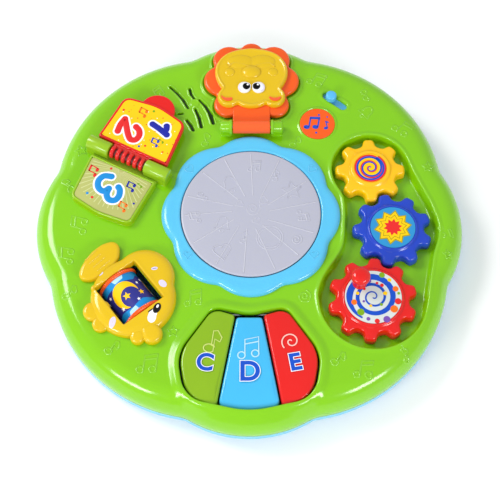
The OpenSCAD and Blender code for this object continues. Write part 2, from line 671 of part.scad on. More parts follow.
module gear_washers() color("silver") for (p = gear_at) difference() {
    rod(p, 8.8, post_top_z, post_top_z + 1);
    rod(p, gear_screw_r + 0.2, 30, 60);
}
module gear_screws() color("silver") for (p = gear_at)
    translate([p.x, p.y, post_top_z + 1]) mirror([0, 0, 1]) screw(3.4, 2.2, gear_screw_r, 10);
module crank_knob() color("red") translate([red_pos.x + knob_at.x, red_pos.y + knob_at.y, 0]) difference() {
    rotate_extrude($fn = 64) polygon(concat(
        [[0, knob_foot_z], [7.5, knob_foot_z], [6.2, knob_foot_z + 3], [6.4, knob_top_z - 12],
            [knob_r, knob_top_z - 8]],
        quarter(0, knob_top_z - 5, knob_r, 5, 6)));
    rod([0, 0], crank_pin_r + running_fit, 40, knob_top_z - 5);
}
module crank_pin() color("silver") translate([red_pos.x + knob_at.x, red_pos.y + knob_at.y, gear_foot_z + 2.3])
    screw(4.6, 2, crank_pin_r, knob_top_z - 5.5 - gear_foot_z - 2.3);

module lion_mane() color("darkorange") difference() {
    union() {
        translate([0, 0, mane_z]) linear_extrude(face_z - mane_z) mane_outline(0);
        translate([lion_x - lion_barrel_l / 2, lion_pin_y, mane_z + 0.6])
            cube([lion_barrel_l, 22, face_z - mane_z - 0.6]);
        rod_x(lion_x - lion_barrel_l / 2, lion_x + lion_barrel_l / 2, lion_pin_y, lion_pin_z, lion_barrel_r);
        for (side = [-1, 1]) rod([lion_x + side * 26, 190], 3, deck_z, mane_z + 1);
    }
    rod_x(lion_x - 40, lion_x + 40, lion_pin_y, lion_pin_z, lion_pin_r + running_fit);
}
module lion_face() color("gold") difference() {
    union() {
        translate([0, 0, face_z]) linear_extrude(face_top_z - face_z - 1.5) face_outline(0);
        translate([0, 0, face_top_z - 2]) linear_extrude(2) face_outline(-2);
        rod([lion_x, 176], 10, face_top_z - 1, face_top_z + 2);
    }
    for (p = eye_at) rod(p, eye_r + 0.1, face_top_z - 0.8, face_top_z + 9);
}
module lion_eyes() color("white") for (p = eye_at) rod(p, eye_r, face_top_z - 0.8, face_top_z + 1);
module lion_pupils() color("black") for (side = [-1, 1])
    rod([lion_x + side * 5.6, eye_y + 0.6], 3.8, face_top_z + 1, face_top_z + 1.8);
module lion_pin() color("silver")
    rod_x(lion_x - lion_pin_half, lion_x + lion_pin_half, lion_pin_y, lion_pin_z, lion_pin_r);

module book_frame() color("yellowgreen") at_book() difference() {
    union() {
        difference() {
            union() {
                prism(tray_points(0), deck_z, tray_top_z + 1.4);
                prism(page_points(-4), deck_z, frame_top_z);
            }
            prism(tray_points(-2.6), tray_top_z, tray_top_z + 9);
            prism(tray_points(-2.6), deck_z - 1, tray_top_z - 2.2);
            prism(page_points(-6.6), deck_z - 1, frame_top_z - 2.2);
        }
        for (p = frame_screw_at) rod(p, 3.6, deck_z, tray_top_z - 1);
        for (span = [[-49, page_barrel[0] - 0.4], [page_barrel[1] + 0.4, 49]]) {
            rod_x(span[0], span[1], 0, book_pin_z, tube_r);
            translate([span[0], -tube_r, deck_z])
                cube([span[1] - span[0], 2 * tube_r, book_pin_z - deck_z]);
        }
        translate([-39, -tube_r - 5, deck_z]) cube([77, 2 * tube_r + 14, 2.6]);
    }
    rod_x(-book_pin_half, book_pin_half, 0, book_pin_z, book_pin_r + grip_fit);
    for (p = frame_screw_at) rod(p, cover_screw_r + grip_fit, deck_z - 1, deck_z + 4.2);
}
module book_page() color("crimson") at_book() difference() {
    union() {
        prism(page_points(0), page_z, page_z + page_t);
        rod([-0.5, 66.5], 19.6, page_z + 0.6, page_z + page_t - 1.4, 64);
        rod_x(page_barrel[0], page_barrel[1], 0, book_pin_z, 7.2);
        translate([page_barrel[0], 0, page_z]) cube([page_barrel[1] - page_barrel[0], 10, page_t]);
    }
    prism(page_points(-2.6), page_z + page_t - 0.8, page_z + page_t + 1);
    rod_x(-60, 60, 0, book_pin_z, book_pin_r + running_fit);
}
module page_label() color("gold") at_book()
    prism(page_points(-2.8), page_z + page_t - 0.8, page_z + page_t - 0.1);
module tray_label() color("khaki") at_book() prism(tray_points(-2.8), tray_top_z, tray_top_z + 0.5);
module book_pin() color("silver") at_book()
    rod_x(-book_pin_half, book_pin_half, 0, book_pin_z, book_pin_r);

module fish_body() color("gold") difference() {
    union() {
        difference() {
            union() {
                translate([0, 0, deck_z]) linear_extrude(6) fish_outline(0);
                translate([0, 0, deck_z + 5]) linear_extrude(3.4) fish_outline(-1.5);
                translate([0, 0, deck_z + 8]) linear_extrude(fish_top_z - deck_z - 8) fish_outline(-4);
            }
            difference() {
                translate([0, 0, deck_z - 1]) linear_extrude(5) fish_outline(-2.6);
                at_roller() translate([-30, -28.5, 0]) cube([60, 57, 90]);
                for (p = fish_screw_at) rod(p, 3.6, 0, 90);
            }
        }
        at_roller() for (side = [-1, 1])
            translate([side * (ear_x + ear_t / 2) - ear_t / 2, -8, roller_z - 7])
                cube([ear_t, 16, deck_z - roller_z + 8]);
    }
    at_roller() {
        translate([-ear_x, -25.5, 0]) cube([2 * ear_x, 51, 90]);
        rod_x(-ear_x - ear_t - 1, ear_x + ear_t + 1, 0, roller_z, axle_r + grip_fit);
    }
    for (p = fish_screw_at) rod(p, cover_screw_r + grip_fit, deck_z - 1, deck_z + 4.2);
}
module roller_drum() color("slateblue") at_roller() difference() {
    rod_x(-roller_l / 2 + flange_t, roller_l / 2 - flange_t, 0, roller_z, roller_core_r, 96);
    for (side = [-1, 1]) rod_x(side * roller_l / 4 - 9, side * roller_l / 4 + 9, 0, roller_z, 2, 32);
    rod_x(-40, 40, 0, roller_z, axle_r + running_fit);
}
module roller_flanges() color("orangered") at_roller() for (side = [-1, 1]) difference() {
    rod_x(side * (roller_l - flange_t) / 2 - flange_t / 2, side * (roller_l - flange_t) / 2 + flange_t / 2,
        0, roller_z, roller_r, 96);
    rod_x(-40, 40, 0, roller_z, axle_r + running_fit);
}
module roller_axle() color("silver") at_roller()
    rod_x(-ear_x - ear_t, ear_x + ear_t, 0, roller_z, axle_r);

module badge_disc() color("darkorange") rod(badge_at, badge_r, deck_z - 1.2, deck_z + 1, 64);
module switch_slider() color("lightskyblue") at_switch() translate([switch_rest, 0, 0]) {
    translate([-25, -8.6, slider_z]) cube([50, 17.2, 2.4]);
    rod([0, 0], 3.9, slider_z + 1, deck_z + 1);
    rod([0, 0], switch_knob_r, deck_z + pass_fit, deck_z + 8);
    translate([-1, -1, slide_switch_z - 3]) cube([2, 2, slider_z - slide_switch_z + 4]);
}
module slide_switch() color("gray") at_switch() difference() {
    union() {
        translate([-12, -5, slide_switch_z - 8]) cube([24, 10, 8]);
        translate([-4, -15.8, slide_switch_z - 1.2]) cube([8, 31.6, 1.2]);
    }
    translate([-9, -1.5, slide_switch_z - 5]) cube([18, 3, 10]);
}

module speaker_basket() color("gray") translate([speaker_at.x, speaker_at.y, 0]) difference() {
    rotate_extrude($fn = 64) polygon([[25.8, under_z - 1.2], [25.8, under_z], [17.2, under_z],
        [17.2, under_z - 1.2], [18.6, under_z - 1.2], [18.6, under_z - 2.4], [17, under_z - 2.4],
        [11, speaker_back_z + 1], [0, speaker_back_z + 1], [0, speaker_back_z], [12, speaker_back_z],
        [18.4, under_z - 3.6], [19.9, under_z - 3.6], [19.9, under_z - 1.2]]);
    for (p = speaker_screw_at) rod(p - speaker_at, small_screw_r + 0.2, 30, 60);
}
module speaker_cone() color("dimgray") translate([speaker_at.x, speaker_at.y, 0]) rotate_extrude($fn = 64)
    polygon([[18.2, under_z - 2], [18.2, under_z - 1.2], [16.4, under_z - 1.2], [14, under_z - 1.9],
        [6, under_z - 9], [3, under_z - 7.6], [0, under_z - 7.2], [0, under_z - 7.8], [3, under_z - 8.2],
        [6.3, under_z - 9.9], [14.3, under_z - 2.7], [16.2, under_z - 2]]);
module speaker_magnet() color("dimgray") rod(speaker_at, 15, speaker_back_z - 9, speaker_back_z, 64);

module battery_box() color("white") translate([box_at.x, box_at.y, 0]) difference() {
    translate([-box_l / 2 - 2, -box_w / 2 - 2, floor_t]) cube([box_l + 4, box_w + 4, box_top_z - floor_t]);
    translate([-box_l / 2, -box_w / 2, 0]) cube([box_l, box_w, box_top_z - 2]);
}
module battery_door() color("lightblue") difference() {
    linear_extrude(floor_t) door_outline(0);
    rod(door_screw_at, case_screw_r1 + 0.25, -1, 10);
    rod(door_screw_at, 3.4, -1, 1.6);
}
module door_screw() color("silver") translate([door_screw_at.x, door_screw_at.y, 1.6])
    screw(3.2, 1.4, case_screw_r1, 9);
module battery_cells() color("goldenrod") for (k = [-1:1])
    translate([box_at.x, box_at.y + k * cell_pitch, cell_z]) rotate([0, (k == 0) ? -90 : 90, 0]) {
        translate([0, 0, -cell_l / 2]) cylinder(r = cell_r, h = cell_l - 1.5, $fn = 48);
        cylinder(r = 2.75, h = cell_l / 2, $fn = 32);
    }
module battery_contacts() color("silver") for (side = [-1, 1]) for (k = [-1:1])
    translate([box_at.x, box_at.y + k * cell_pitch, cell_z]) {
        translate([side * (box_l / 2 - 0.25) - 0.25, -6, -6]) cube([0.5, 12, 12]);
        rotate([0, side * 90, 0]) translate([0, 0, cell_l / 2])
            cylinder(r1 = 2.4, r2 = 4.6, h = box_l / 2 - cell_l / 2 - 0.4, $fn = 32);
    }
module wires() color("crimson") {
    for (x = [-14, -17]) wire([[x, box_at.y - box_w / 2 - 2, 9], [x, 108, 5], [x, -119, 5], [x, -119, 26],
        [x, -126, 26]]);
    for (x = [-21, -24]) wire([[x - 29, 121, 36], [x - 10, 112, 8], [x, 96, 5], [x, -119, 5], [x, -119, 26],
        [x, -126, 26]]);
    for (k = [0, 1]) let (at = switch_point([4 * k - 8, -5]), out = switch_point([4 * k - 8, -8]))
        wire([[at.x, at.y, slide_switch_z - 4], [out.x, out.y, slide_switch_z - 4], [60, 131 - 3 * k, 8],
            [box_at.x + box_l / 2 + 2, 131 - 3 * k, 8]], [0, 1, 0]);
}

deck_shell();  // top_shell
base_shell();
case_screws();
cover_screws();
small_screws();
drum_ring();
drum_pad();
pad_retainer();
pad_screws();
drum_springs();
drum_dome();
drum_board();
key_lime();
key_blue();
key_red();
key_rod();
key_dome_lime();
key_dome_blue();
key_dome_red();
main_board();
board_parts();
gear_yellow();
gear_blue();
gear_red();
disc_yellow();
disc_blue();
disc_red();
gear_washers();
gear_screws();
crank_knob();
crank_pin();
lion_mane();
lion_face();
lion_eyes();
lion_pupils();
lion_pin();
book_frame();
book_page();
page_label();
tray_label();
book_pin();
fish_body();
roller_drum();
roller_flanges();
roller_axle();
badge_disc();
switch_slider();
slide_switch();
speaker_basket();
speaker_cone();
speaker_magnet();
battery_box();
battery_door();
door_screw();
battery_cells();
battery_contacts();
wires();
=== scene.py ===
"""Looks of the musical activity table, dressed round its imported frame.

Modelling sizes are millimetres, and finished() turns each piece into metres.
"""
import math

import bmesh
import bpy
import numpy as np
from mathutils import Matrix, Vector
from mathutils.geometry import delaunay_2d_cdt


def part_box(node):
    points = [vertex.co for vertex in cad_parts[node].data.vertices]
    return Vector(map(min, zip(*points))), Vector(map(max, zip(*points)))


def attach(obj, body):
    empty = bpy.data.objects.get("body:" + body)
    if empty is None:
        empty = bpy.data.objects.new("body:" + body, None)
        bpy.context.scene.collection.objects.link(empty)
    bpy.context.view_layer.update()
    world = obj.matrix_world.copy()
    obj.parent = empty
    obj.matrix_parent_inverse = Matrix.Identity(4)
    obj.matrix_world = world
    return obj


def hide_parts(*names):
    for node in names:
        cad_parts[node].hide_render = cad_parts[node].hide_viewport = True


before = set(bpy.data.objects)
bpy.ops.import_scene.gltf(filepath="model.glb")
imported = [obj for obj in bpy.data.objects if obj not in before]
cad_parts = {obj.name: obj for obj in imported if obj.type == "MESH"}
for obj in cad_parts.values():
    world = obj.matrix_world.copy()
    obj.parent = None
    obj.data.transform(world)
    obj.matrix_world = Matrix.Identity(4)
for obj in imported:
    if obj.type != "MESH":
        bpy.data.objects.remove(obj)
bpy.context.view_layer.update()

MM = 0.001
TABLE = "table"


def low(node):
    return [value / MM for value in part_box(node)[0]]


def high(node):
    return [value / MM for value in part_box(node)[1]]


def half_width(node):
    return (high(node)[0] - low(node)[0]) / 2


def middle(node):
    """Plan centre of a CAD node, in millimetres."""
    return tuple((a + b) / 2 for a, b in zip(low(node)[:2], high(node)[:2]))


# ---- outlines

def polar(radius, degrees, centre=(0, 0)):
    angle = math.radians(degrees)
    return centre[0] + radius * math.cos(angle), centre[1] + radius * math.sin(angle)


def circle(centre, radius, count=96):
    return [polar(radius, 360 * k / count, centre) for k in range(count)]


def turned(point, degrees, centre=(0, 0)):
    """A local point turned by degrees and carried to centre."""
    c, s = math.cos(math.radians(degrees)), math.sin(math.radians(degrees))
    return centre[0] + point[0] * c - point[1] * s, centre[1] + point[0] * s + point[1] * c


def sized(points, size, turn, centre):
    """Local points of a motif one unit high, made size high, turned and carried to centre."""
    return [turned((x * size, y * size), turn, centre) for x, y in points]


def ellipse(centre, rx, ry, count):
    return [(centre[0] + rx * math.cos(a), centre[1] + ry * math.sin(a))
            for a in np.linspace(0, 2 * math.pi, count + 1)[:-1]]


def unit(x, y):
    length = math.hypot(x, y) or 1
    return x / length, y / length


def grown(corners, by):
    """Anticlockwise corners moved outwards, each along both its sides."""
    moved = []
    for k, (bx, by_) in enumerate(corners):
        ax, ay = corners[k - 1]
        cx, cy = corners[(k + 1) % len(corners)]
        m = unit(by_ - ay, ax - bx)
        n = unit(cy - by_, bx - cx)
        share = by / (1 + m[0] * n[0] + m[1] * n[1])
        moved.append((bx + (m[0] + n[0]) * share, by_ + (m[1] + n[1]) * share))
    return moved


def rounded(corners, radii, steps=8):
    """Closed outline with an arc of its own radius at each corner."""
    points = []
    for k, b in enumerate(corners):
        a, c = corners[k - 1], corners[(k + 1) % len(corners)]
        u, w = unit(a[0] - b[0], a[1] - b[1]), unit(c[0] - b[0], c[1] - b[1])
        half = math.acos(max(-1, min(1, u[0] * w[0] + u[1] * w[1]))) / 2
        bis = unit(u[0] + w[0], u[1] + w[1])
        reach = radii[k] / math.sin(half)
        mid = (b[0] + bis[0] * reach, b[1] + bis[1] * reach)
        tangent = radii[k] / math.tan(half)
        p = (b[0] + u[0] * tangent - mid[0], b[1] + u[1] * tangent - mid[1])
        q = (b[0] + w[0] * tangent - mid[0], b[1] + w[1] * tangent - mid[1])
        start = math.degrees(math.atan2(p[1], p[0]))
        sweep = (math.degrees(math.atan2(q[1], q[0])) - start + 540) % 360 - 180
        points += [polar(radii[k], start + sweep * i / steps, mid) for i in range(steps + 1)]
    return points


def outline(corners, radii, by=0.0):
    return rounded(grown(corners, by), [max(radius + by, 0.6) for radius in radii])


def box_outline(x0, y0, x1, y1, *radii):
    """A rectangle with rounded corners, from its front left one anticlockwise."""
    return outline([(x0, y0), (x1, y0), (x1, y1), (x0, y1)], radii if len(radii) == 4 else radii * 4)


def spaced(points, gap):
    """The same closed outline with its points about gap apart."""
    ring = np.array(list(points) + [points[0]], float)
    along = np.concatenate([[0], np.cumsum(np.hypot(*np.diff(ring, axis=0).T))])
    count = max(8, round(along[-1] / gap))
    at = np.linspace(0, along[-1], count, endpoint=False)
    return list(zip(np.interp(at, along, ring[:, 0]), np.interp(at, along, ring[:, 1])))


def eased(points, rounds):
    """A closed outline with its creases rounded off."""
    ring = np.array(points, float)
    for _ in range(rounds):
        ring = (np.roll(ring, 1, 0) + 2 * ring + np.roll(ring, -1, 0)) / 4
    return [tuple(place) for place in ring]


def inset(points, by):
    """A closed anticlockwise outline moved inwards, or outwards where by is below 0."""
    moved = []
    for k, (x, y) in enumerate(points):
        ax, ay = points[k - 1]
        bx, by_ = points[(k + 1) % len(points)]
        m, n = unit(x - ax, y - ay), unit(bx - x, by_ - y)
        way = unit(m[0] + n[0], m[1] + n[1])
        lean = max(0.55, m[0] * way[0] + m[1] * way[1])
        moved.append((x - way[1] * by / lean, y + way[0] * by / lean))
    return moved


def blob(shapes, centre, melt=3.0, count=360, gap=1.2):
    """Outline of merged round-ended bars (ax, ay, bx, by, ar, br), seen from a centre inside them.

    Rays walk in from far outside until they meet the shapes.
    """
    far, walks = 300.0, 90
    angles = np.linspace(0, 2 * math.pi, count, endpoint=False)
    way = np.stack([np.cos(angles), np.sin(angles)], 1)
    reach = np.full(count, far)
    for _ in range(walks):
        places = np.array(centre) + way * reach[:, None]
        near = np.full(count, 1e3)
        for ax, ay, bx, by, ar, br in shapes:
            run = np.array([bx - ax, by - ay])
            rest = places - (ax, ay)
            share = np.clip(rest @ run / max(run @ run, 1e-9), 0, 1)
            gap_here = np.hypot(*(rest - share[:, None] * run).T) - (ar + (br - ar) * share)
            mix = np.maximum(melt - abs(near - gap_here), 0) / melt
            near = np.minimum(near, gap_here) - mix * mix * melt / 4
        reach = reach - near * 0.9
    return spaced([tuple(place) for place in np.array(centre) + way * reach[:, None]], gap)


def follow(profile, distance):
    """The second number of a profile's steps, read at a distance along the first."""
    return np.interp(distance, [step[0] for step in profile], [step[1] for step in profile])


def disc_shape(x, y, radius):
    return x, y, x, y, radius, radius


def outward(places, points):
    """Signed distance of places (N, 2) from a closed outline, above 0 outside it."""
    ring = np.array(points, float)
    run = np.roll(ring, -1, 0) - ring
    found = np.empty(len(places))
    batch = 4000
    for start in range(0, len(places), batch):
        some = places[start:start + batch, None, :]
        rest = some - ring[None]
        share = np.clip((rest * run).sum(2) / np.maximum((run * run).sum(1), 1e-12), 0, 1)
        gap = np.sqrt(((rest - share[..., None] * run) ** 2).sum(2)).min(1)
        above = ring[None, :, 1] > some[..., 1]
        crossing = above != np.roll(above, -1, 1)
        rise = np.where(run[:, 1] == 0, 1e-12, run[:, 1])
        at_x = ring[:, 0] + (some[..., 1] - ring[:, 1]) * run[:, 0] / rise
        inside = (crossing & (some[..., 0] < at_x)).sum(1) % 2 == 1
        found[start:start + batch] = np.where(inside, -gap, gap)
    return found


# ---- materials

def linear(red, green, blue, alpha=1.0):
    """A colour given as 0-255 screen values, as Blender wants it."""
    def one(value):
        value /= 255
        return value / 12.92 if value <= 0.04045 else ((value + 0.055) / 1.055) ** 2.4
    return one(red), one(green), one(blue), alpha


def set_inputs(node, values):
    for label, value in values.items():
        node.inputs[label].default_value = value


def noise_node(nodes, scale, detail, rough=0.5):
    node = nodes.new("ShaderNodeTexNoise")
    set_inputs(node, {"Scale": scale, "Detail": detail, "Roughness": rough})
    return node


def moulded_surface_group():
    """Injection-moulded skin: faint flow shading, fine orange peel, and convex edges screened paler as a painted
    highlight.
    """
    group = bpy.data.node_groups.new("moulded_surface", "ShaderNodeTree")
    nodes, links = group.nodes, group.links
    for label, start in {"Colour": (1, 1, 1, 1), "Flow": 0.05, "Grain": 900.0, "Roughness": 0.3, "Edge": 0.25}.items():
        kind = "NodeSocketColor" if label == "Colour" else "NodeSocketFloat"
        group.interface.new_socket(label, in_out="INPUT", socket_type=kind).default_value = start
    for label in ("Colour", "Roughness", "Height"):
        kind = "NodeSocketColor" if label == "Colour" else "NodeSocketFloat"
        group.interface.new_socket(label, in_out="OUTPUT", socket_type=kind)
    given, put = nodes.new("NodeGroupInput"), nodes.new("NodeGroupOutput")
    place = nodes.new("ShaderNodeTexCoord").outputs["Object"]
    flow = noise_node(nodes, 14.0, 2.0)
    scuff = noise_node(nodes, 160.0, 4.0, 0.7)
    grain = noise_node(nodes, 900.0, 2.0, 0.6)
    links.new(given.outputs["Grain"], grain.inputs["Scale"])
    for node in (flow, scuff, grain):
        links.new(place, node.inputs["Vector"])

    def work_out(operation, a, b):
        node = nodes.new("ShaderNodeMath")
        node.operation = operation
        for socket, value in zip(node.inputs, (a, b)):
            if isinstance(value, float):
                socket.default_value = value
            else:
                links.new(value, socket)
        return node.outputs[0]
    swing = work_out("MULTIPLY", work_out("SUBTRACT", flow.outputs["Fac"], 0.5), given.outputs["Flow"])
    level = work_out("ADD", work_out("MULTIPLY", swing, 2.0), 1.0)
    shade = nodes.new("ShaderNodeHueSaturation")
    links.new(level, shade.inputs["Value"])
    links.new(given.outputs["Colour"], shade.inputs["Color"])
    # Painted highlight: convex edges, found by pointiness, are screened towards pale grey by the Edge amount
    bend = nodes.new("ShaderNodeNewGeometry").outputs["Pointiness"]
    ramp = nodes.new("ShaderNodeMapRange")
    set_inputs(ramp, {"From Min": 0.51, "From Max": 0.60})
    links.new(bend, ramp.inputs["Value"])
    edge_highlight = work_out("MULTIPLY", ramp.outputs["Result"], given.outputs["Edge"])
    pale = nodes.new("ShaderNodeMix")
    pale.data_type, pale.blend_type = "RGBA", "SCREEN"
    factor, under, over = pale.inputs[0], pale.inputs[6], pale.inputs[7]
    links.new(edge_highlight, factor)
    links.new(shade.outputs["Color"], under)
    over.default_value = (0.35, 0.35, 0.32, 1)
    links.new(pale.outputs[2], put.inputs["Colour"])
    haze = work_out("MULTIPLY", work_out("SUBTRACT", scuff.outputs["Fac"], 0.5), 0.16)
    links.new(work_out("ADD", given.outputs["Roughness"], haze), put.inputs["Roughness"])
    height = work_out("ADD", grain.outputs["Fac"], work_out("MULTIPLY", scuff.outputs["Fac"], 0.4))
    links.new(height, put.inputs["Height"])
    return group


MOULDED = moulded_surface_group()


def plastic(name, colour, rough=0.28, flow=0.06, grain=900.0, peel=0.02, edge=0.08, glow=0.06, metal=0.0,
            shine=0.5):
    """A moulded finish; colour is 0-255 screen values, and edge sets the strength of a painted highlight on convex
    edges.
    """
    material = bpy.data.materials.new(name)
    material.use_nodes = True
    nodes, links = material.node_tree.nodes, material.node_tree.links
    shader = nodes["Principled BSDF"]
    skin = nodes.new("ShaderNodeGroup")
    skin.node_tree = MOULDED
    set_inputs(skin, {"Colour": linear(*colour), "Flow": flow, "Grain": grain, "Roughness": rough, "Edge": edge})
    bump = nodes.new("ShaderNodeBump")
    set_inputs(bump, {"Strength": peel * 10, "Distance": 0.0001})
    links.new(skin.outputs["Colour"], shader.inputs["Base Color"])
    links.new(skin.outputs["Roughness"], shader.inputs["Roughness"])
    links.new(skin.outputs["Height"], bump.inputs["Height"])
    links.new(bump.outputs["Normal"], shader.inputs["Normal"])
    set_inputs(shader, {"Metallic": metal, "Specular IOR Level": shine})
    if glow:
        set_inputs(shader, {"Subsurface Weight": glow, "Subsurface Radius": (0.004, 0.004, 0.002),
                            "Subsurface Scale": 1.0})
    return material


def printed(name, colour, fleck=0.1):
    """A paper or film label under a gloss film, with a faint half-tone in its ink."""
    return plastic(name, colour, rough=0.36, flow=fleck, grain=2600.0, peel=0.01, edge=0.0, glow=0.0, shine=0.3)


def metal(name, colour, rough=0.3):
    return plastic(name, colour, rough=rough, flow=0.1, grain=2200.0, peel=0.02, edge=0.2, glow=0.0, metal=1.0)


GREEN = plastic("shell_green_plastic", (126, 194, 8), rough=0.15, flow=0.05)
LIME = plastic("lime_plastic", (142, 184, 4), rough=0.22)
KEY_LIME = plastic("lime_key_plastic", (132, 174, 12), rough=0.15)
BASE_BLUE = plastic("base_pale_blue_plastic", (112, 196, 224), rough=0.3)
RING_BLUE = plastic("ring_blue_plastic", (86, 188, 230), rough=0.16)
KEY_BLUE = plastic("blue_key_plastic", (62, 178, 228), rough=0.15)
PAD_GREY = plastic("pad_lavender_plastic", (176, 177, 192), rough=0.32, flow=0.03, edge=0.42)
YELLOW = plastic("yellow_plastic", (219, 181, 4), rough=0.15)
GEAR_YELLOW = plastic("gear_yellow_plastic", (247, 188, 2), rough=0.2)
ORANGE = plastic("orange_plastic", (240, 88, 8), rough=0.22)
RED = plastic("red_plastic", (219, 16, 10), rough=0.13)
# Painted shade: dark red for the spine's core, seen between the ribs
SPINE_PAINTED_SHADE = plastic("red_in_shadow_plastic", (96, 6, 4), rough=0.5, edge=0.0, glow=0.0)
ROYAL = plastic("royal_blue_plastic", (20, 62, 186), rough=0.18)
WHITE = plastic("white_plastic", (236, 236, 240), rough=0.3, flow=0.02)
BLACK = plastic("black_plastic", (4, 4, 5), rough=0.4, edge=0.0, glow=0.0, shine=0.12)
SLIDER_BLUE = plastic("slider_blue_plastic", (84, 180, 236), rough=0.2)
# Painted shade: dark green for the walls down inside the deck's openings
SLOT_PAINTED_SHADE = plastic("slot_shadow_plastic", (22, 58, 6), rough=0.6, edge=0.0, glow=0.0)
CLOTH = plastic("speaker_cloth", (34, 58, 16), rough=0.9, grain=1400.0, peel=0.1, edge=0.0, glow=0.0)
RUBBER = plastic("dome_rubber", (220, 220, 214), rough=0.6, peel=0.04)
BOARD = plastic("board_green_lacquer", (24, 92, 44), rough=0.35, flow=0.15, grain=1800.0)
STEEL = metal("zinc_plated_steel", (190, 192, 196))
CELL = plastic("cell_jacket", (176, 128, 52), rough=0.35, glow=0.0)
WIRE = plastic("wire_jacket", (180, 26, 24), rough=0.45)
PAPER_CONE = plastic("speaker_paper", (54, 52, 50), rough=0.8, peel=0.08, glow=0.0)
FERRITE = plastic("ferrite", (44, 44, 48), rough=0.55, peel=0.05, glow=0.0)
INKS = {name: printed("ink_" + name, colour, fleck) for name, colour, fleck in (
    ("white", (242, 242, 246), 0.1), ("lilac", (214, 206, 236), 0.1), ("red", (222, 38, 38), 0.1),
    ("blue", (14, 76, 190), 0.1), ("indigo", (24, 36, 156), 0.1), ("sky", (18, 136, 208), 0.1),
    ("cyan", (44, 142, 200), 0.1), ("orange", (242, 112, 24), 0.1), ("purple", (118, 78, 168), 0.1),
    ("green", (122, 166, 20), 0.1), ("yellow", (250, 198, 2), 0.14), ("olive", (160, 152, 14), 0.1),
    ("black", (8, 6, 10), 0.1), ("night", (44, 46, 132), 0.2), ("pale_lime", (196, 212, 112), 0.1),
    ("pale_sky", (176, 220, 240), 0.1), ("pale_rose", (248, 190, 180), 0.1),
)}
LABEL_PALE = printed("label_pale_sage", (200, 204, 140))
LABEL_GREY = printed("label_pale_grey", (206, 214, 210))
LABEL_TAN = printed("label_sage", (176, 180, 104), fleck=0.22)


def inks(*names):
    return [INKS[name] for name in names]


# ---- pieces

def finished(name, bm, body, materials, stands_for=(), sharp=42, recalc=True):
    """A bmesh in millimetres becomes a piece of the table that rides on a body."""
    bmesh.ops.remove_doubles(bm, verts=bm.verts, dist=0.0005)
    if recalc:
        bmesh.ops.recalc_face_normals(bm, faces=bm.faces)
    bmesh.ops.scale(bm, vec=(MM, MM, MM), verts=bm.verts)
    limit = math.radians(sharp)
    for edge in bm.edges:
        edge.smooth = edge.calc_face_angle(math.pi) < limit
    for face in bm.faces:
        face.smooth = True
    mesh = bpy.data.meshes.new(name)
    bm.to_mesh(mesh)
    bm.free()
    for material in materials:
        mesh.materials.append(material)
    piece = bpy.data.objects.new(name, mesh)
    bpy.context.scene.collection.objects.link(piece)
    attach(piece, body)
    if stands_for:
        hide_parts(*stands_for)
    return piece


def stack(bm, points, profile, material=0):
    """Raise a closed outline through (inset, height) steps, closed at both ends. Returns the new points."""
    rings = [[(x, y, height) for x, y in inset(points, by)] for by, height in profile]
    corners = [bm.verts.new(place) for place in rings[0]]
    made = list(corners)
    top = bm.faces.new(corners)
    foot = top
    faces = [foot]
    for ring in rings[1:]:
        order = {tuple(round(c, 6) for c in vert.co): k for k, vert in enumerate(corners)}
        grown_geom = bmesh.ops.extrude_face_region(bm, geom=[top, *top.edges])["geom"]
        fresh = [item for item in grown_geom if isinstance(item, bmesh.types.BMVert)]
        lid = next(item for item in grown_geom if isinstance(item, bmesh.types.BMFace)
                   and all(vert in fresh for vert in item.verts))
        following = [None] * len(ring)
        for vert in fresh:
            following[order[tuple(round(c, 6) for c in vert.co)]] = vert
        for vert, place in zip(following, ring):
            vert.co = place
        faces += [item for item in grown_geom if isinstance(item, bmesh.types.BMFace)]
        corners, top = following, lid
        made += following
    foot.normal_flip()
    paint(made, material)
    return made


def lathe(bm, profile, steps=64, material=0):
    """Turn a (radius, height) profile about the z axis; ends at radius 0 close it. Returns the new points."""
    before = set(bm.verts)
    verts = [bm.verts.new((radius, 0, height)) for radius, height in profile]
    edges = [bm.edges.new(pair) for pair in zip(verts, verts[1:])]
    bmesh.ops.spin(bm, geom=verts + edges, cent=(0, 0, 0), axis=(0, 0, 1), angle=2 * math.pi, steps=steps,
                   use_merge=True, dvec=(0, 0, 0))
    bmesh.ops.remove_doubles(bm, verts=[vert for vert in bm.verts if vert not in before], dist=0.0005)
    made = [vert for vert in bm.verts if vert not in before]
    paint(made, material)
    return made


def carry(bm, verts, x=0.0, y=0.0, z=0.0, turn=0.0, tip=None, size=(1, 1, 1)):
    """Scale, tip (Euler degrees), turn about z and move points made round the origin."""
    matrix = Matrix.Translation((x, y, z)) @ Matrix.Rotation(math.radians(turn), 4, "Z")
    if tip:
        axis, degrees = tip
        matrix = matrix @ Matrix.Rotation(math.radians(degrees), 4, axis)
    matrix = matrix @ Matrix.Diagonal((*size, 1))
    bmesh.ops.transform(bm, matrix=matrix, verts=list(verts))
    return verts


def soft_edge(low_z, high_z, edge, angles=(22, 45, 68, 90), crown=(0.5, 0.0)):
    """Profile of a plate whose top edge is rounded by edge."""
    steps = [(edge * (1 - math.cos(a)), high_z - edge * (1 - math.sin(a))) for a in map(math.radians, angles)]
    return [(0, low_z), (0, high_z - edge), *steps, (edge + crown[0], high_z + crown[1])]


def curve_mesh(curve):
    """A curve's shape as a mesh; the curve is used up."""
    holder = bpy.data.objects.new(curve.name, curve)
    bpy.context.scene.collection.objects.link(holder)
    graph = bpy.context.evaluated_depsgraph_get()
    mesh = bpy.data.meshes.new_from_object(holder.evaluated_get(graph))
    bpy.data.objects.remove(holder)
    bpy.data.curves.remove(curve)
    return mesh


def paint(verts, material):
    for vert in verts:
        for face in vert.link_faces:
            face.material_index = material


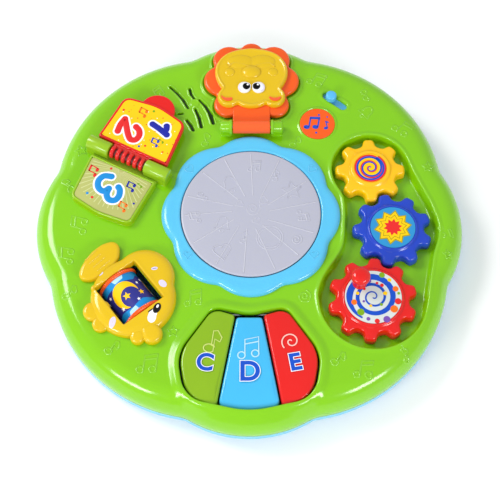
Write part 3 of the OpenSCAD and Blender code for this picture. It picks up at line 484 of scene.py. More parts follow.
def take_in(bm, mesh, material=None):
    """Add a mesh to the piece, which uses it up. Returns the new points."""
    before = set(bm.verts)
    bm.from_mesh(mesh)
    bpy.data.meshes.remove(mesh)
    fresh = [vert for vert in bm.verts if vert not in before]
    if material is not None:
        paint(fresh, material)
    return fresh


def add_strokes(bm, lines, radius, flat=1.0, material=0, joint=2):
    """Round cords along 3-D lines [(points, closed)]; flat squashes them in height."""
    curve = bpy.data.curves.new("stroke", "CURVE")
    curve.dimensions = "3D"
    curve.bevel_depth = radius
    curve.bevel_resolution = joint
    curve.use_fill_caps = True
    for points, closed in lines:
        spline = curve.splines.new("POLY")
        spline.points.add(len(points) - 1)
        for spot, place in zip(spline.points, points):
            spot.co = (place[0], place[1], place[2] / flat, 1)
        spline.use_cyclic_u = closed
    fresh = take_in(bm, curve_mesh(curve), material)
    for vert in fresh:
        vert.co.z *= flat
    return fresh


def add_letters(bm, text, size, thick, swell, place, turn, material):
    """A printed word, with bolder strokes where swell is above 0."""
    curve = bpy.data.curves.new("letters", "FONT")
    curve.body = text
    curve.size = size
    curve.align_x = "CENTER"
    curve.align_y = "CENTER"
    curve.offset = swell
    curve.extrude = thick / 2
    return carry(bm, take_in(bm, curve_mesh(curve), material), *place, turn)


def smooth(points, steps=7):
    """A curve through given points."""
    padded = np.array([points[0], *points, points[-1]], float)
    path = []
    for a, b, c, d in zip(padded, padded[1:], padded[2:], padded[3:]):
        for t in np.arange(steps) / steps:
            path.append(tuple(b + 0.5 * t * (c - a + t * (2 * a - 5 * b + 4 * c - d + t * (3 * (b - c) + d - a)))))
    return path + [tuple(padded[-1])]


def tile(bm, points, foot, top, material=0):
    """A thin printed shape: a flat plate."""
    return stack(bm, points, [(0, foot), (0, top)], material)


# ---- small drawn motifs, one unit high

def arc(centre, radius, start, stop, count=10):
    return [polar(radius, start + (stop - start) * k / count, centre) for k in range(count + 1)]


def note_motif():
    """An eighth note drawn as one outline."""
    head = [(x * 1.25, y * 0.95) for x, y in arc((-0.04, -0.32), 0.19, 20, 300, 14)]
    flag = [(0.12, -0.42), (0.12, 0.12), (0.34, 0.02), (0.40, 0.22), (0.20, 0.50), (0.02, 0.46), (0.02, -0.16)]
    return [(head + flag, True)]


def pair_motif():
    """Two beamed notes drawn as outlines."""
    left = arc((-0.30, -0.34), 0.15, 0, 360, 14)[:-1]
    right = arc((0.26, -0.26), 0.15, 0, 360, 14)[:-1]
    beam = [(-0.16, -0.32), (-0.16, 0.34), (0.40, 0.46), (0.40, -0.22)]
    inner = [(-0.16, 0.14), (0.40, 0.26)]
    return [(left, True), (right, True), (beam, False), (inner, False)]


def star_motif(points=5, inner=0.24, outer=0.5):
    return [([polar(outer if k % 2 == 0 else inner, 90 + 180 * k / points) for k in range(2 * points)], True)]


def heart_motif():
    left = arc((-0.22, 0.14), 0.24, 200, 20, 10)
    right = arc((0.22, 0.14), 0.24, 160, -20, 10)
    return [(left + right + [(0.0, -0.5)], True)]


def swirl_motif(turns=2.1, radius=0.5):
    count = int(24 * turns)
    return [([polar(radius * k / count, 360 * turns * k / count) for k in range(2, count + 1)], False)]


def bell_motif():
    side = [(0.4, -0.3), (0.3, -0.1), (0.26, 0.2), (0.1, 0.42)]
    return [([(-x, y) for x, y in side] + side[::-1], True), (arc((0, -0.38), 0.1, 180, 360, 8), False)]


def placed(motif, centre, size, turn, height):
    """A motif's lines at a place; height is a number or a function of (x, y)."""
    lines = []
    for points, closed in motif:
        flat = sized(points, size, turn, centre)
        lines.append(([(x, y, height(x, y) if callable(height) else height) for x, y in flat], closed))
    return lines


def filled_note(bm, centre, size, turn, foot, top, material, beamed=False):
    """A solid printed note: heads, stems and a beam or flag."""
    def put(points):
        tile(bm, sized(points, size, turn, centre), foot, top, material)
    heads = [(-0.26, -0.36), (0.30, -0.26)] if beamed else [(-0.05, -0.34)]
    for hx, hy in heads:
        put(ellipse((hx, hy), 0.20, 0.15, 13))
        put([(hx + 0.10, hy), (hx + 0.20, hy), (hx + 0.20, 0.42 + (0.1 if hx > 0 else 0)), (hx + 0.10, 0.40)])
    if beamed:
        put([(-0.16, 0.26), (0.50, 0.36), (0.50, 0.54), (-0.16, 0.44)])
    else:
        put([(0.06, 0.42), (0.15, 0.20), (0.36, 0.10), (0.30, 0.30)])


# ---- deck

DECK_Z = high("badge_disc")[2] - 1
SEAM_Z = low("top_shell")[2]
SHOULDER_W, SHOULDER_H = 22.0, 26.0
WALL = 2.6
INK_T = 0.12
TABLE_R = high("top_shell")[0]
NOTCH_R = TABLE_R - 9.5
NOTCH_ANGLE = 17.5


def lobe_shapes(top_r, low_r, half):
    """Circles of an eight-lobed outline: narrow lobes on the axes, wide ones between."""
    shapes = []
    for first, share in ((0, half), (45, 45 - half)):
        centre = (top_r ** 2 - low_r ** 2) / (2 * (top_r - low_r * math.cos(math.radians(share))))
        shapes += [disc_shape(*polar(centre, first + 90 * k), top_r - centre) for k in range(4)]
    return shapes


rim = blob(lobe_shapes(TABLE_R, NOTCH_R, NOTCH_ANGLE), (0, 0), melt=1.0, count=720, gap=2.4)
rim = eased(rim, 6)
rim_places = np.array(rim)
rim_angle = np.arctan2(rim_places[:, 1], rim_places[:, 0])
rim_order = np.argsort(rim_angle)
rim_angle, rim_reach = rim_angle[rim_order], np.hypot(*rim_places.T)[rim_order]


def shoulder_height(depth):
    """Height of the shell's rounded shoulder at a distance in from its rim."""
    out = (SHOULDER_W - np.clip(depth, 0, SHOULDER_W)) / SHOULDER_W
    return DECK_Z - SHOULDER_H * (1 - np.sqrt(np.clip(1 - out ** 2, 0, 1)))


def bare_deck(places):
    """Height of the plain deck and shoulder over plan places (N, 2)."""
    angle = np.arctan2(places[:, 1], places[:, 0])
    reach = np.interp(angle, rim_angle, rim_reach, period=2 * math.pi)
    return shoulder_height(reach - np.hypot(places[:, 0], places[:, 1]))


def bare_deck_at(x, y):
    return float(bare_deck(np.array([[x, y]]))[0])


KEY_RIDGE = ([(0, -108), (-38, -101), (-74, -152), (-66, -199), (0, -214), (66, -199), (74, -152), (38, -101)],
             [40, 14, 40, 30, 90, 30, 40, 14])
YELLOW_AT, BLUE_AT, RED_AT = middle("disc_yellow"), middle("disc_blue"), middle("disc_red")
WELL_FILL = [(100.5, -29.6), (86, -59.7), (72.5, -85.8), (128, -120), (184, -91), (196, -24.3),
             (193.5, 18.8), (173, 65.5), (133, 80), (93.2, 71.7), (103.3, 22.6), (103.2, -3)]
LION_X = middle("lion_face")[0]
MANE = [disc_shape(LION_X, 170, 42), disc_shape(LION_X, 206, 13.5)]
for side in (-1, 1):
    MANE += [disc_shape(LION_X + side * 25, 197, 18), disc_shape(LION_X + side * 34, 170, 19),
             disc_shape(LION_X + side * 26, 139, 15.5)]
BADGE_AT = middle("badge_disc")
BADGE_R = half_width("badge_disc")
SWITCH_AT, SWITCH_TURN = (95.2, 147.2), -38
ROLLER_AT, ROLLER_TURN = (-124.1, -88.2), -52
DRUM_AT = middle("drum_pad")
SLOTS = [
    [(-88.8, 165.6, -80.4, 157.0, 1.5, 1.6), (-80.4, 157.0, -73.2, 148.0, 1.6, 1.8),
     (-73.2, 148.0, -68.0, 138.0, 1.8, 1.5)],
    [(-66.6, 162.9, -65.0, 156.0, 1.9, 1.8), (-65.0, 156.0, -61.4, 150.4, 1.8, 1.5)],
    [(-56.0, 149.0, -48.6, 140.4, 1.4, 2.0), (-48.6, 140.4, -42.4, 129.0, 2.0, 2.4),
     (-42.4, 129.0, -39.8, 118.6, 2.4, 2.3)],
    [(-78.6, 130.4, -73.6, 130.8, 1.5, 1.2)],
    [(-69.4, 122.8, -64.6, 116.0, 1.8, 2.2), (-64.6, 116.0, -61.8, 109.8, 2.2, 2.1)],
    [(-60.0, 136.8, -55.6, 126.0, 1.6, 2.1), (-55.6, 126.0, -52.8, 113.8, 2.1, 2.2)],
]
SPEAKER_BOSS = (-60.7, 143.9)


def window(half_x, half_y, gap):
    """The roller's square opening."""
    corners = ((-half_x, -half_y), (half_x, -half_y), (half_x, half_y), (-half_x, half_y))
    return spaced([turned(corner, ROLLER_TURN, ROLLER_AT) for corner in corners], gap)


def slot_outline(bars):
    bars = [(*bar[:4], 0.82 * bar[4], 0.82 * bar[5]) for bar in bars]
    mid = bars[len(bars) // 2]
    centre = ((mid[0] + mid[2]) / 2, (mid[1] + mid[3]) / 2) if len(bars) == 1 else (mid[0], mid[1])
    return blob(bars, centre, melt=0.8, count=720, gap=1.0)


well_outline = eased(blob(
    [disc_shape(*YELLOW_AT, 42), disc_shape(*BLUE_AT, 49), disc_shape(*RED_AT, 56)]
    + [(*WELL_FILL[k], *WELL_FILL[(k + 1) % 12], 0.5, 0.5) for k in range(12)],
    (140, -20), melt=3, count=720, gap=2.0), 10)
# Each feature: its outline, its lift by distance outwards from it, and whether the deck is open inside
FEATURES = [
    (spaced(outline(*KEY_RIDGE, 9), 2.4),
     [(-7.5, 3.0), (-5.0, 2.8), (-2.5, 1.9), (0, 0.7), (2.0, 0.1), (3.5, 0)], False),
    (spaced(outline(*KEY_RIDGE, -0.2), 1.8),
     [(-0.3, -9), (0, -2.4), (0.25, -1.2), (0.8, -0.45), (1.6, -0.1), (2.6, 0)], True),
    (well_outline,
     [(-8.0, -13), (-4.0, -12.7), (-2.0, -11.6), (-1.0, -9.4), (-0.4, -5.0), (0, -1.2), (0.4, 0.2), (1.1, 0.95),
      (2.0, 1.2), (3.0, 0.95), (4.2, 0.3), (6.0, 0)], False),
    (inset(blob(MANE, (LION_X, 172), melt=4, gap=2.0), -2.0),
     [(-1.6, 0), (-0.9, 0.8), (-0.1, 1.35), (0.7, 1.35), (1.5, 0.8), (2.3, 0)], False),
    (circle(BADGE_AT, BADGE_R + 0.2, 72), [(-0.8, -1.2), (0, 0.6), (0.7, 1.25), (1.5, 1.1), (2.6, 0)], False),
    (blob([(*turned((-11, 0), SWITCH_TURN, SWITCH_AT), *turned((11, 0), SWITCH_TURN, SWITCH_AT), 4.4, 4.4)],
          SWITCH_AT, melt=0.5, gap=1.2),
     [(-0.3, -3.4), (0, -0.8), (0.4, 0.1), (1.4, 0.7), (2.6, 0.8), (4.0, 0.3), (5.4, 0)], True),
    (circle(SPEAKER_BOSS, 5.2, 32), [(-1.6, 1.1), (-0.7, 0.9), (0, 0.4), (0.8, 0)], False),
    (circle(DRUM_AT, 86, 96), [(0, 0)], True),
    (window(25.5, 25, 4.0), [(0, 0)], True),
] + [(slot_outline(bars), [(-0.25, -2.8), (0, -0.5), (0.35, 0.25), (0.9, 0.55), (1.5, 0.4), (2.4, 0)], True)
     for bars in SLOTS]


def deck_height(places):
    lift = bare_deck(places)
    for points, profile, _ in FEATURES:
        ring = np.array(points)
        reach = profile[-1][0] + 1
        near = ((places > ring.min(0) - reach) & (places < ring.max(0) + reach)).all(1)
        if near.any():
            gaps = outward(places[near], points)
            lift[near] += follow(profile, gaps)
    return lift


def relief(loops, spacing, height, openings):
    """A moulded skin seen from above: loops and a grid are joined into triangles, then lifted by height."""
    places, edges = [], []
    for loop in loops:
        start = len(places)
        places += [Vector(p) for p in loop]
        edges += [(start + k, start + (k + 1) % len(loop)) for k in range(len(loop))]
    outer = np.array(loops[0])
    low_x, low_y = outer.min(0)
    high_x, high_y = outer.max(0)
    grid = np.array([(x + (spacing / 2 if row % 2 else 0), y)
                     for row, y in enumerate(np.arange(low_y + 1, high_y, spacing * 0.87))
                     for x in np.arange(low_x + 1, high_x, spacing)])
    keep = outward(grid, loops[0]) < -2
    for loop in loops[1:]:
        keep &= abs(outward(grid, loop)) > 0.8
    places += [Vector(p) for p in grid[keep]]
    flat, _, faces, *_ = delaunay_2d_cdt(places, edges, [], 0, 1e-4)
    plan = np.array([tuple(p) for p in flat])
    lift = height(plan)
    middles = plan[np.array(faces)].mean(1)
    kept = outward(middles, loops[0]) < 0
    for points in openings:
        kept &= outward(middles, points) > 0
    bm = bmesh.new()
    verts = [bm.verts.new((x, y, z)) for (x, y), z in zip(plan, lift)]
    for face, wanted in zip(faces, kept):
        if wanted:
            bm.faces.new([verts[k] for k in face])
    bmesh.ops.delete(bm, geom=[vert for vert in bm.verts if not vert.link_faces], context="VERTS")
    bm.normal_update()
    if sum(face.normal.z for face in bm.faces) < 0:
        bmesh.ops.reverse_faces(bm, faces=bm.faces)
    return bm


def skirt(bm, edges, move, material=0):
    """Extrude open edges; move gives each new point its place."""
    made = bmesh.ops.extrude_edge_only(bm, edges=edges)["geom"]
    for item in made:
        if isinstance(item, bmesh.types.BMVert):
            item.co = move(item.co)
        elif isinstance(item, bmesh.types.BMFace):
            item.material_index = material
    return [item for item in made if isinstance(item, bmesh.types.BMEdge) and item.is_boundary
            and len(item.link_faces) == 1]


def make_deck():
    depths = [0, 0.04, 0.16, 0.4, 0.85, 1.5, 2.5, 4, 6, 8.5, 11.5, 15, 18.5, 22]
    loops = [[polar(reach - depth, math.degrees(angle)) for angle, reach in zip(rim_angle, rim_reach)]
             for depth in depths]
    openings = []
    for points, profile, is_open in FEATURES:
        loops += [inset(points, -gap) for gap in [step[0] for step in profile] + [profile[-1][0] + 0.9]]
        if is_open:
            openings.append(inset(points, -profile[0][0]))
    bm = relief(loops, 9.0, deck_height, openings)
    borders = [edge for edge in bm.edges if edge.is_boundary]
    rim_edges = [edge for edge in borders
                 if all(math.hypot(vert.co.x, vert.co.y) > NOTCH_R - 4 and vert.co.z < 26 for vert in edge.verts)]
    hole_edges = [edge for edge in borders if edge not in set(rim_edges)]
    for share, height in ((1, SEAM_Z + 0.5), (0.9985, SEAM_Z), (0.988, SEAM_Z), (1, 30)):
        rim_edges = skirt(bm, rim_edges, lambda co: (co.x * share, co.y * share, height))
    # The walls down into the openings take the second material, a dark green painted shade
    skirt(bm, hole_edges, lambda co: (co.x, co.y, co.z - WALL), 1)
    finished("deck_shell", bm, TABLE, [GREEN, SLOT_PAINTED_SHADE], ["top_shell"], sharp=50, recalc=False)


make_deck()

RELIEF_MARKS = [
    (pair_motif, (-103, 158), 16, 30), (note_motif, (-48.5, 97.5), 16, 10), (pair_motif, (-182, -6.5), 21, 75),
    (pair_motif, (-194, -42), 20, 80), (note_motif, (-187, -84), 17, -25), (note_motif, (-140, -145), 17, -30),
    (pair_motif, (-103, -162), 23, -6), (pair_motif, (-58, -90), 20, 0), (note_motif, (-196, 40), 17, 60),
    (star_motif, (-184, 84), 14, 20), (pair_motif, (76, 176), 20, -30), (note_motif, (130, 155), 14, -140),
    (bell_motif, (130, 133), 18, -50), (pair_motif, (170, 113), 21, -45), (star_motif, (194, 64), 13, 0),
    (note_motif, (50, 95), 15, -20), (swirl_motif, (57, -89), 15, 40), (note_motif, (90, -157), 17, -30),
    (pair_motif, (116, -168), 21, -10), (pair_motif, (209, -14), 15, -85), (star_motif, (209, -40), 10, 12),
    (note_motif, (-33, 124), 12, -10), (star_motif, (-78, -128), 12, 0), (note_motif, (158, -152), 13, 40),
]


def make_relief_marks():
    """Soft raised line drawings all round the deck: notes, bells, stars and swirls."""
    bm = bmesh.new()
    for motif, centre, size, turn in RELIEF_MARKS:
        add_strokes(bm, placed(motif(), centre, size, turn, lambda x, y: bare_deck_at(x, y) - 1.0), 1.5, 1.0)
    finished("deck_relief_marks", bm, TABLE, [GREEN], sharp=60)


make_relief_marks()


def make_speaker_cloth():
    """Dark cloth glued under the slots, over the loudspeaker."""
    bm = bmesh.new()
    stack(bm, circle((-63, 139), 34, 72), [(0, DECK_Z - 3.1), (0, DECK_Z - 2.7)])
    finished("speaker_cloth_disc", bm, TABLE, [CLOTH], sharp=50)


make_speaker_cloth()


# ---- drum

def make_drum():
    x, y = DRUM_AT
    ring_top, ring_foot = high("drum_ring")[2], low("drum_ring")[2]
    ring_r = half_width("drum_ring")
    pad_r = half_width("drum_pad")
    pad_top = high("drum_pad")[2]
    edge = eased([(x + px, y + py) for px, py in
                  blob(lobe_shapes(ring_r, ring_r - 7.5, 22), (0, 0), melt=3, count=540, gap=1.6)], 6)
    hole = circle(DRUM_AT, pad_r + 0.7, 160)
    rise = [(-0.0, 0.0), (0.3, 1.5), (1.0, 2.9), (2.2, 4.1), (4.0, 5.0), (6.5, 5.45), (9.5, 5.5)]
    dip = [(0.0, -1.6), (0.5, -0.5), (1.4, 0.15), (2.4, 0.25), (3.4, 0.0)]

    def ring_height(places):
        tall = (ring_top - ring_foot) / rise[-1][1]
        return ring_foot + tall * follow(rise, -outward(places, edge)) + follow(dip, outward(places, hole))

    loops = [edge] + [inset(edge, p[0]) for p in rise[1:]]
    loops += [circle(DRUM_AT, pad_r + 0.7 + p[0], 160) for p in dip]
    bm = relief(loops, 5.0, ring_height, [hole])
    borders = [e for e in bm.edges if e.is_boundary]
    skirt(bm, borders, lambda co: (co.x, co.y, ring_foot - 0.4))
    for sx, sy, turn in ((-66, 58, 40), (66, 58, -40), (-66, -44, 0), (66, -44, 0)):
        add_strokes(bm, placed(heart_motif(), (sx + 1.6, sy), 10.5, turn, ring_top - 0.35), 0.75)
        for points, _ in heart_motif():
            tile(bm, sized(points, 8, turn, (sx + 1.6, sy)), ring_top - 1, ring_top + INK_T)
    finished("drum_ring_lobed", bm, TABLE, [RING_BLUE], ["drum_ring"], sharp=50, recalc=False)

    bm = bmesh.new()
    verts = lathe(bm, [(0, pad_top - 3.2), (pad_r - 0.6, pad_top - 3.2), (pad_r, pad_top - 2.6),
                       (pad_r, pad_top - 1.1), (pad_r - 0.35, pad_top - 0.45), (pad_r - 1.1, pad_top - 0.08),
                       (pad_r - 2.2, pad_top), (pad_r * 0.66, pad_top + 0.25), (pad_r * 0.33, pad_top + 0.4),
                       (0, pad_top + 0.45)], 144)
    carry(bm, verts, x, y)
    skirt_r, skirt_t, skirt_foot = 64.0, 3.6, 40
    verts = lathe(bm, [(skirt_r, skirt_foot), (skirt_r, pad_top - 3), (skirt_r - skirt_t, pad_top - 3),
                       (skirt_r - skirt_t, skirt_foot), (skirt_r, skirt_foot)], 96)
    carry(bm, verts, x, y)

    def pad_lines(motif, centre, size, turn):
        return placed(motif, (x + centre[0], y + centre[1]), size, turn, pad_top + 0.05)
    art = []
    for angle in (4, 26, 58, 84, 108, 131, 158, 177, 205, 233, 258, 285, 309, 334):
        a, b = polar(20, angle), polar(pad_r - 4, angle + 6)
        art += [([(x + a[0], y + a[1], pad_top + 0.12), (x + b[0], y + b[1], pad_top - 0.1)], False)]
    for motif, centre, size, turn in (
            (pair_motif, (4, 56), 15, -6), (note_motif, (26, 44), 13, 10), (star_motif, (44, 26), 22, 8),
            (pair_motif, (56, -4), 14, -90), (swirl_motif, (48, -32), 12, 20), (note_motif, (-8, -30), 13, 4),
            (heart_motif, (-30, -46), 20, 10), (pair_motif, (-60, -6), 14, 92), (note_motif, (-52, 18), 12, 70),
            (bell_motif, (-22, 34), 22, 20), (bell_motif, (-30, -14), 20, -8), (swirl_motif, (2, 4), 17, 0)):
        art += pad_lines(motif(), centre, size, turn)
    art += [([(x + px, y + py, pad_top) for px, py in circle((20, -30), 14, 40)], True),
            ([(x + px, y + py, pad_top) for px, py in circle((20, -30), 11.6, 40)], True)]
    for centre, size in (((14, 14), 10), ((-12, 10), 9), ((6, -10), 9)):
        art += pad_lines(heart_motif(), centre, size, centre[0] * 5)
    add_strokes(bm, art, 0.7, 0.9)
    finished("drum_pad_embossed", bm, "pad", [PAD_GREY], ["drum_pad"], sharp=50)


make_drum()


# ---- keys

LIME_KEY = outline([(-14.7, -109.5), (-38, -102.5), (-72, -152), (-64, -196), (-33.2, -208.5)], [3, 14, 40, 30, 4])
BLUE_KEY = outline([(-13.2, -112), (-31.2, -207), (0, -212), (31.2, -207), (13.2, -112)], [3, 6, 80, 6, 3])
RED_KEY = [(-x, y) for x, y in reversed(LIME_KEY)]


def key_drop(y):
    """Keys bow down towards the front rim."""
    return 3.0 * (max(0.0, -184 - y) / 26) ** 2


def make_key(name, points, plastics, letter, letter_at, glyph, glyph_at, turn):
    """One key; letter and glyph are (drawing, size)."""
    top = DECK_Z + 0.6
    rim_points = spaced(points, 2.0)
    bm = bmesh.new()
    verts = stack(bm, rim_points, [(1.0, 42), (0, 42.6), (0, top - 2.6), (0.25, top - 1.5), (0.8, top - 0.65),
                                   (1.6, top - 0.15), (2.7, top)])
    for vert in verts:
        if vert.co.z > 46:
            vert.co.z -= key_drop(vert.co.y)
    add_strokes(bm, placed(glyph[0], glyph_at, glyph[1], turn, top + 0.25), 0.7, 0.45, material=1)
    for swell, lift, ink in ((1.55, 0.28, 2), (0.75, 0.42, 3)):
        add_letters(bm, *letter, 0.16, swell, (*letter_at, top + lift), turn, ink)
    finished(name + "_key_top", bm, name + "_key", [*plastics, *inks("white", "blue")],
             ["key_" + name], sharp=40)


make_key("blue", BLUE_KEY, (KEY_BLUE, INKS["pale_sky"]),
         ("D", 29), (0.4, -172), (pair_motif(), 25), (-0.4, -145.5), 0)
make_key("lime", LIME_KEY, (KEY_LIME, INKS["pale_lime"]),
         ("C", 25), (-45, -162), (note_motif(), 25), (-38.5, -139), -8)
make_key("red", RED_KEY, (RED, INKS["pale_rose"]),
         ("E", 25), (46.5, -162), (swirl_motif(1.6), 20), (42.5, -139), 10)


# ---- gears

GEAR_MODULE = 8.8
PRESSURE_ANGLE = math.radians(25)
TOOTH_TIP, TOOTH_ROOT = 3.4, 5.3


def gear_outline(teeth, turn):
    """Chunky involute teeth with their tips and roots rounded off."""
    pitch = GEAR_MODULE * teeth / 2
    base = pitch * math.cos(PRESSURE_ANGLE)
    tip, root = pitch + TOOTH_TIP, pitch - TOOTH_ROOT

    def involute(a):
        return math.tan(a) - a
    half = math.pi / 2 / teeth - 0.5 / pitch / 2
    side = []
    for k in range(6):
        radius = base + (tip - base) * k / 5
        side.append((radius, math.degrees(half + involute(PRESSURE_ANGLE) - involute(math.acos(base / radius)))))
    points = []
    for k in range(teeth):
        mid = turn + 360 * k / teeth
        points.append(polar(root, mid - side[0][1] - 1.2))
        points += [polar(radius, mid - angle) for radius, angle in side]
        points += [polar(radius, mid + angle) for radius, angle in reversed(side)]
        points.append(polar(root, mid + side[0][1] + 1.2))
    return inset(eased(spaced(points, 1.3), 7), 0.1)


def mesh_turn(turn, teeth, next_teeth, way):
    return way + 180 + 180 / next_teeth - (turn - way) * teeth / next_teeth


RED_TURN = 13
BLUE_TURN = mesh_turn(RED_TURN, 10, 9, 73.3)
YELLOW_TURN = mesh_turn(BLUE_TURN, 9, 8, 106.3)
GEAR_FOOT, GEAR_TOP = 37.3, 50.4
DISC_FOOT, DISC_TOP = low("disc_red")[2], high("disc_red")[2]


def make_gear(name, centre, teeth, turn, rim_r, material):
    disc_r = half_width("disc_" + name)
    root = GEAR_MODULE * teeth / 2 - TOOTH_ROOT
    bm = bmesh.new()
    verts = stack(bm, gear_outline(teeth, turn), [
        (0.8, GEAR_FOOT), (0, GEAR_FOOT + 0.8), (0.1, GEAR_TOP - 4.4), (0.35, GEAR_TOP - 2.8), (0.9, GEAR_TOP - 1.5),
        (1.7, GEAR_TOP - 0.6), (2.6, GEAR_TOP - 0.15), (3.5, GEAR_TOP)])
    for vert in verts:
        reach = math.hypot(vert.co.x, vert.co.y)
        if vert.co.z > GEAR_TOP - 5 and reach > root - 4:
            vert.co.z -= 1.5 * ((reach - root + 4) / 12) ** 2
    lathe(bm, [(0, GEAR_TOP - 1), (rim_r + 2.2, GEAR_TOP - 0.6), (rim_r + 0.9, GEAR_TOP + 0.15),
               (rim_r + 0.2, GEAR_TOP + 1.1), (rim_r - 0.5, DISC_TOP - 0.25), (rim_r - 1.3, DISC_TOP + 0.05),
               (disc_r + 1.1, DISC_TOP + 0.05), (disc_r + 0.45, DISC_TOP - 0.2), (disc_r + 0.2, DISC_FOOT),
               (0, DISC_FOOT)], 96)
    carry(bm, list(bm.verts), centre[0], centre[1])
    finished(name + "_gear_wheel", bm, name + "_gear", [material], ["gear_" + name], sharp=40)


make_gear("yellow", YELLOW_AT, 8, YELLOW_TURN, 21.5, GEAR_YELLOW)
make_gear("blue", BLUE_AT, 9, BLUE_TURN, 26.4, ROYAL)
make_gear("red", RED_AT, 10, RED_TURN, 32, RED)


def ribbon(bm, centre_line, widths, foot, top, material):
    """A flat band of changing width along a plan line."""
    left, right = [], []
    for k, (x, y) in enumerate(centre_line):
        ax, ay = centre_line[max(0, k - 1)]
        bx, by = centre_line[min(len(centre_line) - 1, k + 1)]
        dx, dy = unit(bx - ax, by - ay)
        half = widths[k] / 2
        left.append((x - dy * half, y + dx * half))
        right.append((x + dy * half, y - dx * half))
    tile(bm, right + list(reversed(left)), foot, top, material)


def spiral(centre, start_r, end_r, start, turns, count=90):
    return [polar(start_r + (end_r - start_r) * k / count, start + 360 * turns * k / count, centre)
            for k in range(count + 1)]


def make_gear_prints():
    foot, top = DISC_TOP - 0.05, DISC_TOP + INK_T

    bm = bmesh.new()
    r = half_width("disc_yellow")
    tile(bm, circle(YELLOW_AT, r - 0.15, 72), DISC_FOOT, foot, 0)
    for start_r, end_r, start, width, lift, ink in (
            (0.4, r - 2.0, 40, 3.6, 0, 1), (0.2, r - 3.1, 45, 2.2, 0.08, 2)):
        line = spiral(YELLOW_AT, start_r, end_r, start, 2.3, 150)
        line += [polar(end_r, start + 108 + 6 * k, YELLOW_AT) for k in range(1, 46)]
        widths = [width * (0.3 + 0.7 * min(1, k / 120)) for k in range(len(line))]
        ribbon(bm, line, widths, foot, top + lift, ink)
    finished("yellow_gear_print", bm, "yellow_gear", inks("yellow", "red", "blue"),
             ["disc_yellow"], sharp=40)

    bm = bmesh.new()
    r = half_width("disc_blue")
    tile(bm, circle(BLUE_AT, r - 0.15, 72), DISC_FOOT, foot, 0)
    for size, inner, material, lift in ((0.86, 0.64, 1, 0), (0.78, 0.57, 2, 0.06), (0.64, 0.46, 1, 0.12),
                                        (0.58, 0.42, 2, 0.18), (0.42, 0.28, 3, 0.24)):
        points = [polar(r * (size if k % 2 == 0 else inner), 8 + 180 * k / 10, BLUE_AT) for k in range(20)]
        tile(bm, points, foot, top + lift, material)
    finished("blue_gear_print", bm, "blue_gear", inks("cyan", "olive", "yellow", "red"),
             ["disc_blue"], sharp=40)

    bm = bmesh.new()
    r = half_width("disc_red")
    tile(bm, circle(RED_AT, r - 0.15, 96), DISC_FOOT, foot, 0)
    line = spiral(RED_AT, 0.8, r - 3.4, 250, 2.98, 170)
    wide = [(1.2 + 5.6 * min(1, k / 150) ** 2) * min(1, 0.25 + (170 - k) / 14) for k in range(171)]
    ribbon(bm, line, wide, foot, top, 1)
    dots = [(25.5, -5, 3.4, 2), (23.5, 9, 3.0, 5), (10, 24.5, 3.0, 3), (-4, 18, 2.6, 4), (4.5, 15.5, 1.4, 2),
            (9.5, 13, 1.9, 2), (12.5, 4, 2.2, 6), (21, -13.5, 4.0, 5), (13, -25, 3.6, 4), (3, -27, 2.6, 2),
            (-6, -24.5, 2.0, 4), (-13.5, -17, 3.8, 3), (-20, -6, 3.0, 5), (-16, 4, 1.8, 6), (-9, 9, 1.5, 2),
            (8, -8.5, 1.6, 3), (-3, -10, 1.5, 6), (-10, -5, 1.3, 4), (17.5, 19, 2.0, 6), (26.5, 4, 1.5, 3)]
    for dx, dy, size, material in dots:
        tile(bm, circle((RED_AT[0] + dx, RED_AT[1] + dy), size, 24), foot, top + 0.05, material)
    finished("red_gear_print", bm, "red_gear",
             [LABEL_GREY, *inks("blue", "red", "green", "purple", "orange", "yellow")],
             ["disc_red"], sharp=40)


make_gear_prints()


def make_knob():
    x, y = middle("crank_knob")
    foot, top = low("crank_knob")[2], high("crank_knob")[2]
    bm = bmesh.new()
    profile = [(0, foot), (7.4, foot), (7.5, foot + 0.5), (6.9, foot + 1.6), (6.3, foot + 3.2), (6.1, foot + 7),
               (6.5, top - 12), (8.0, top - 10), (9.4, top - 8.4), (10.0, top - 6.6), (9.85, top - 4.4),
               (9.0, top - 2.6), (7.2, top - 1.1), (4.6, top - 0.3), (2.2, top - 0.02), (0, top)]
    carry(bm, lathe(bm, profile, 64), x, y)
    finished("crank_knob_turned", bm, "knob", [RED], ["crank_knob"], sharp=45)


make_knob()


# ---- lion

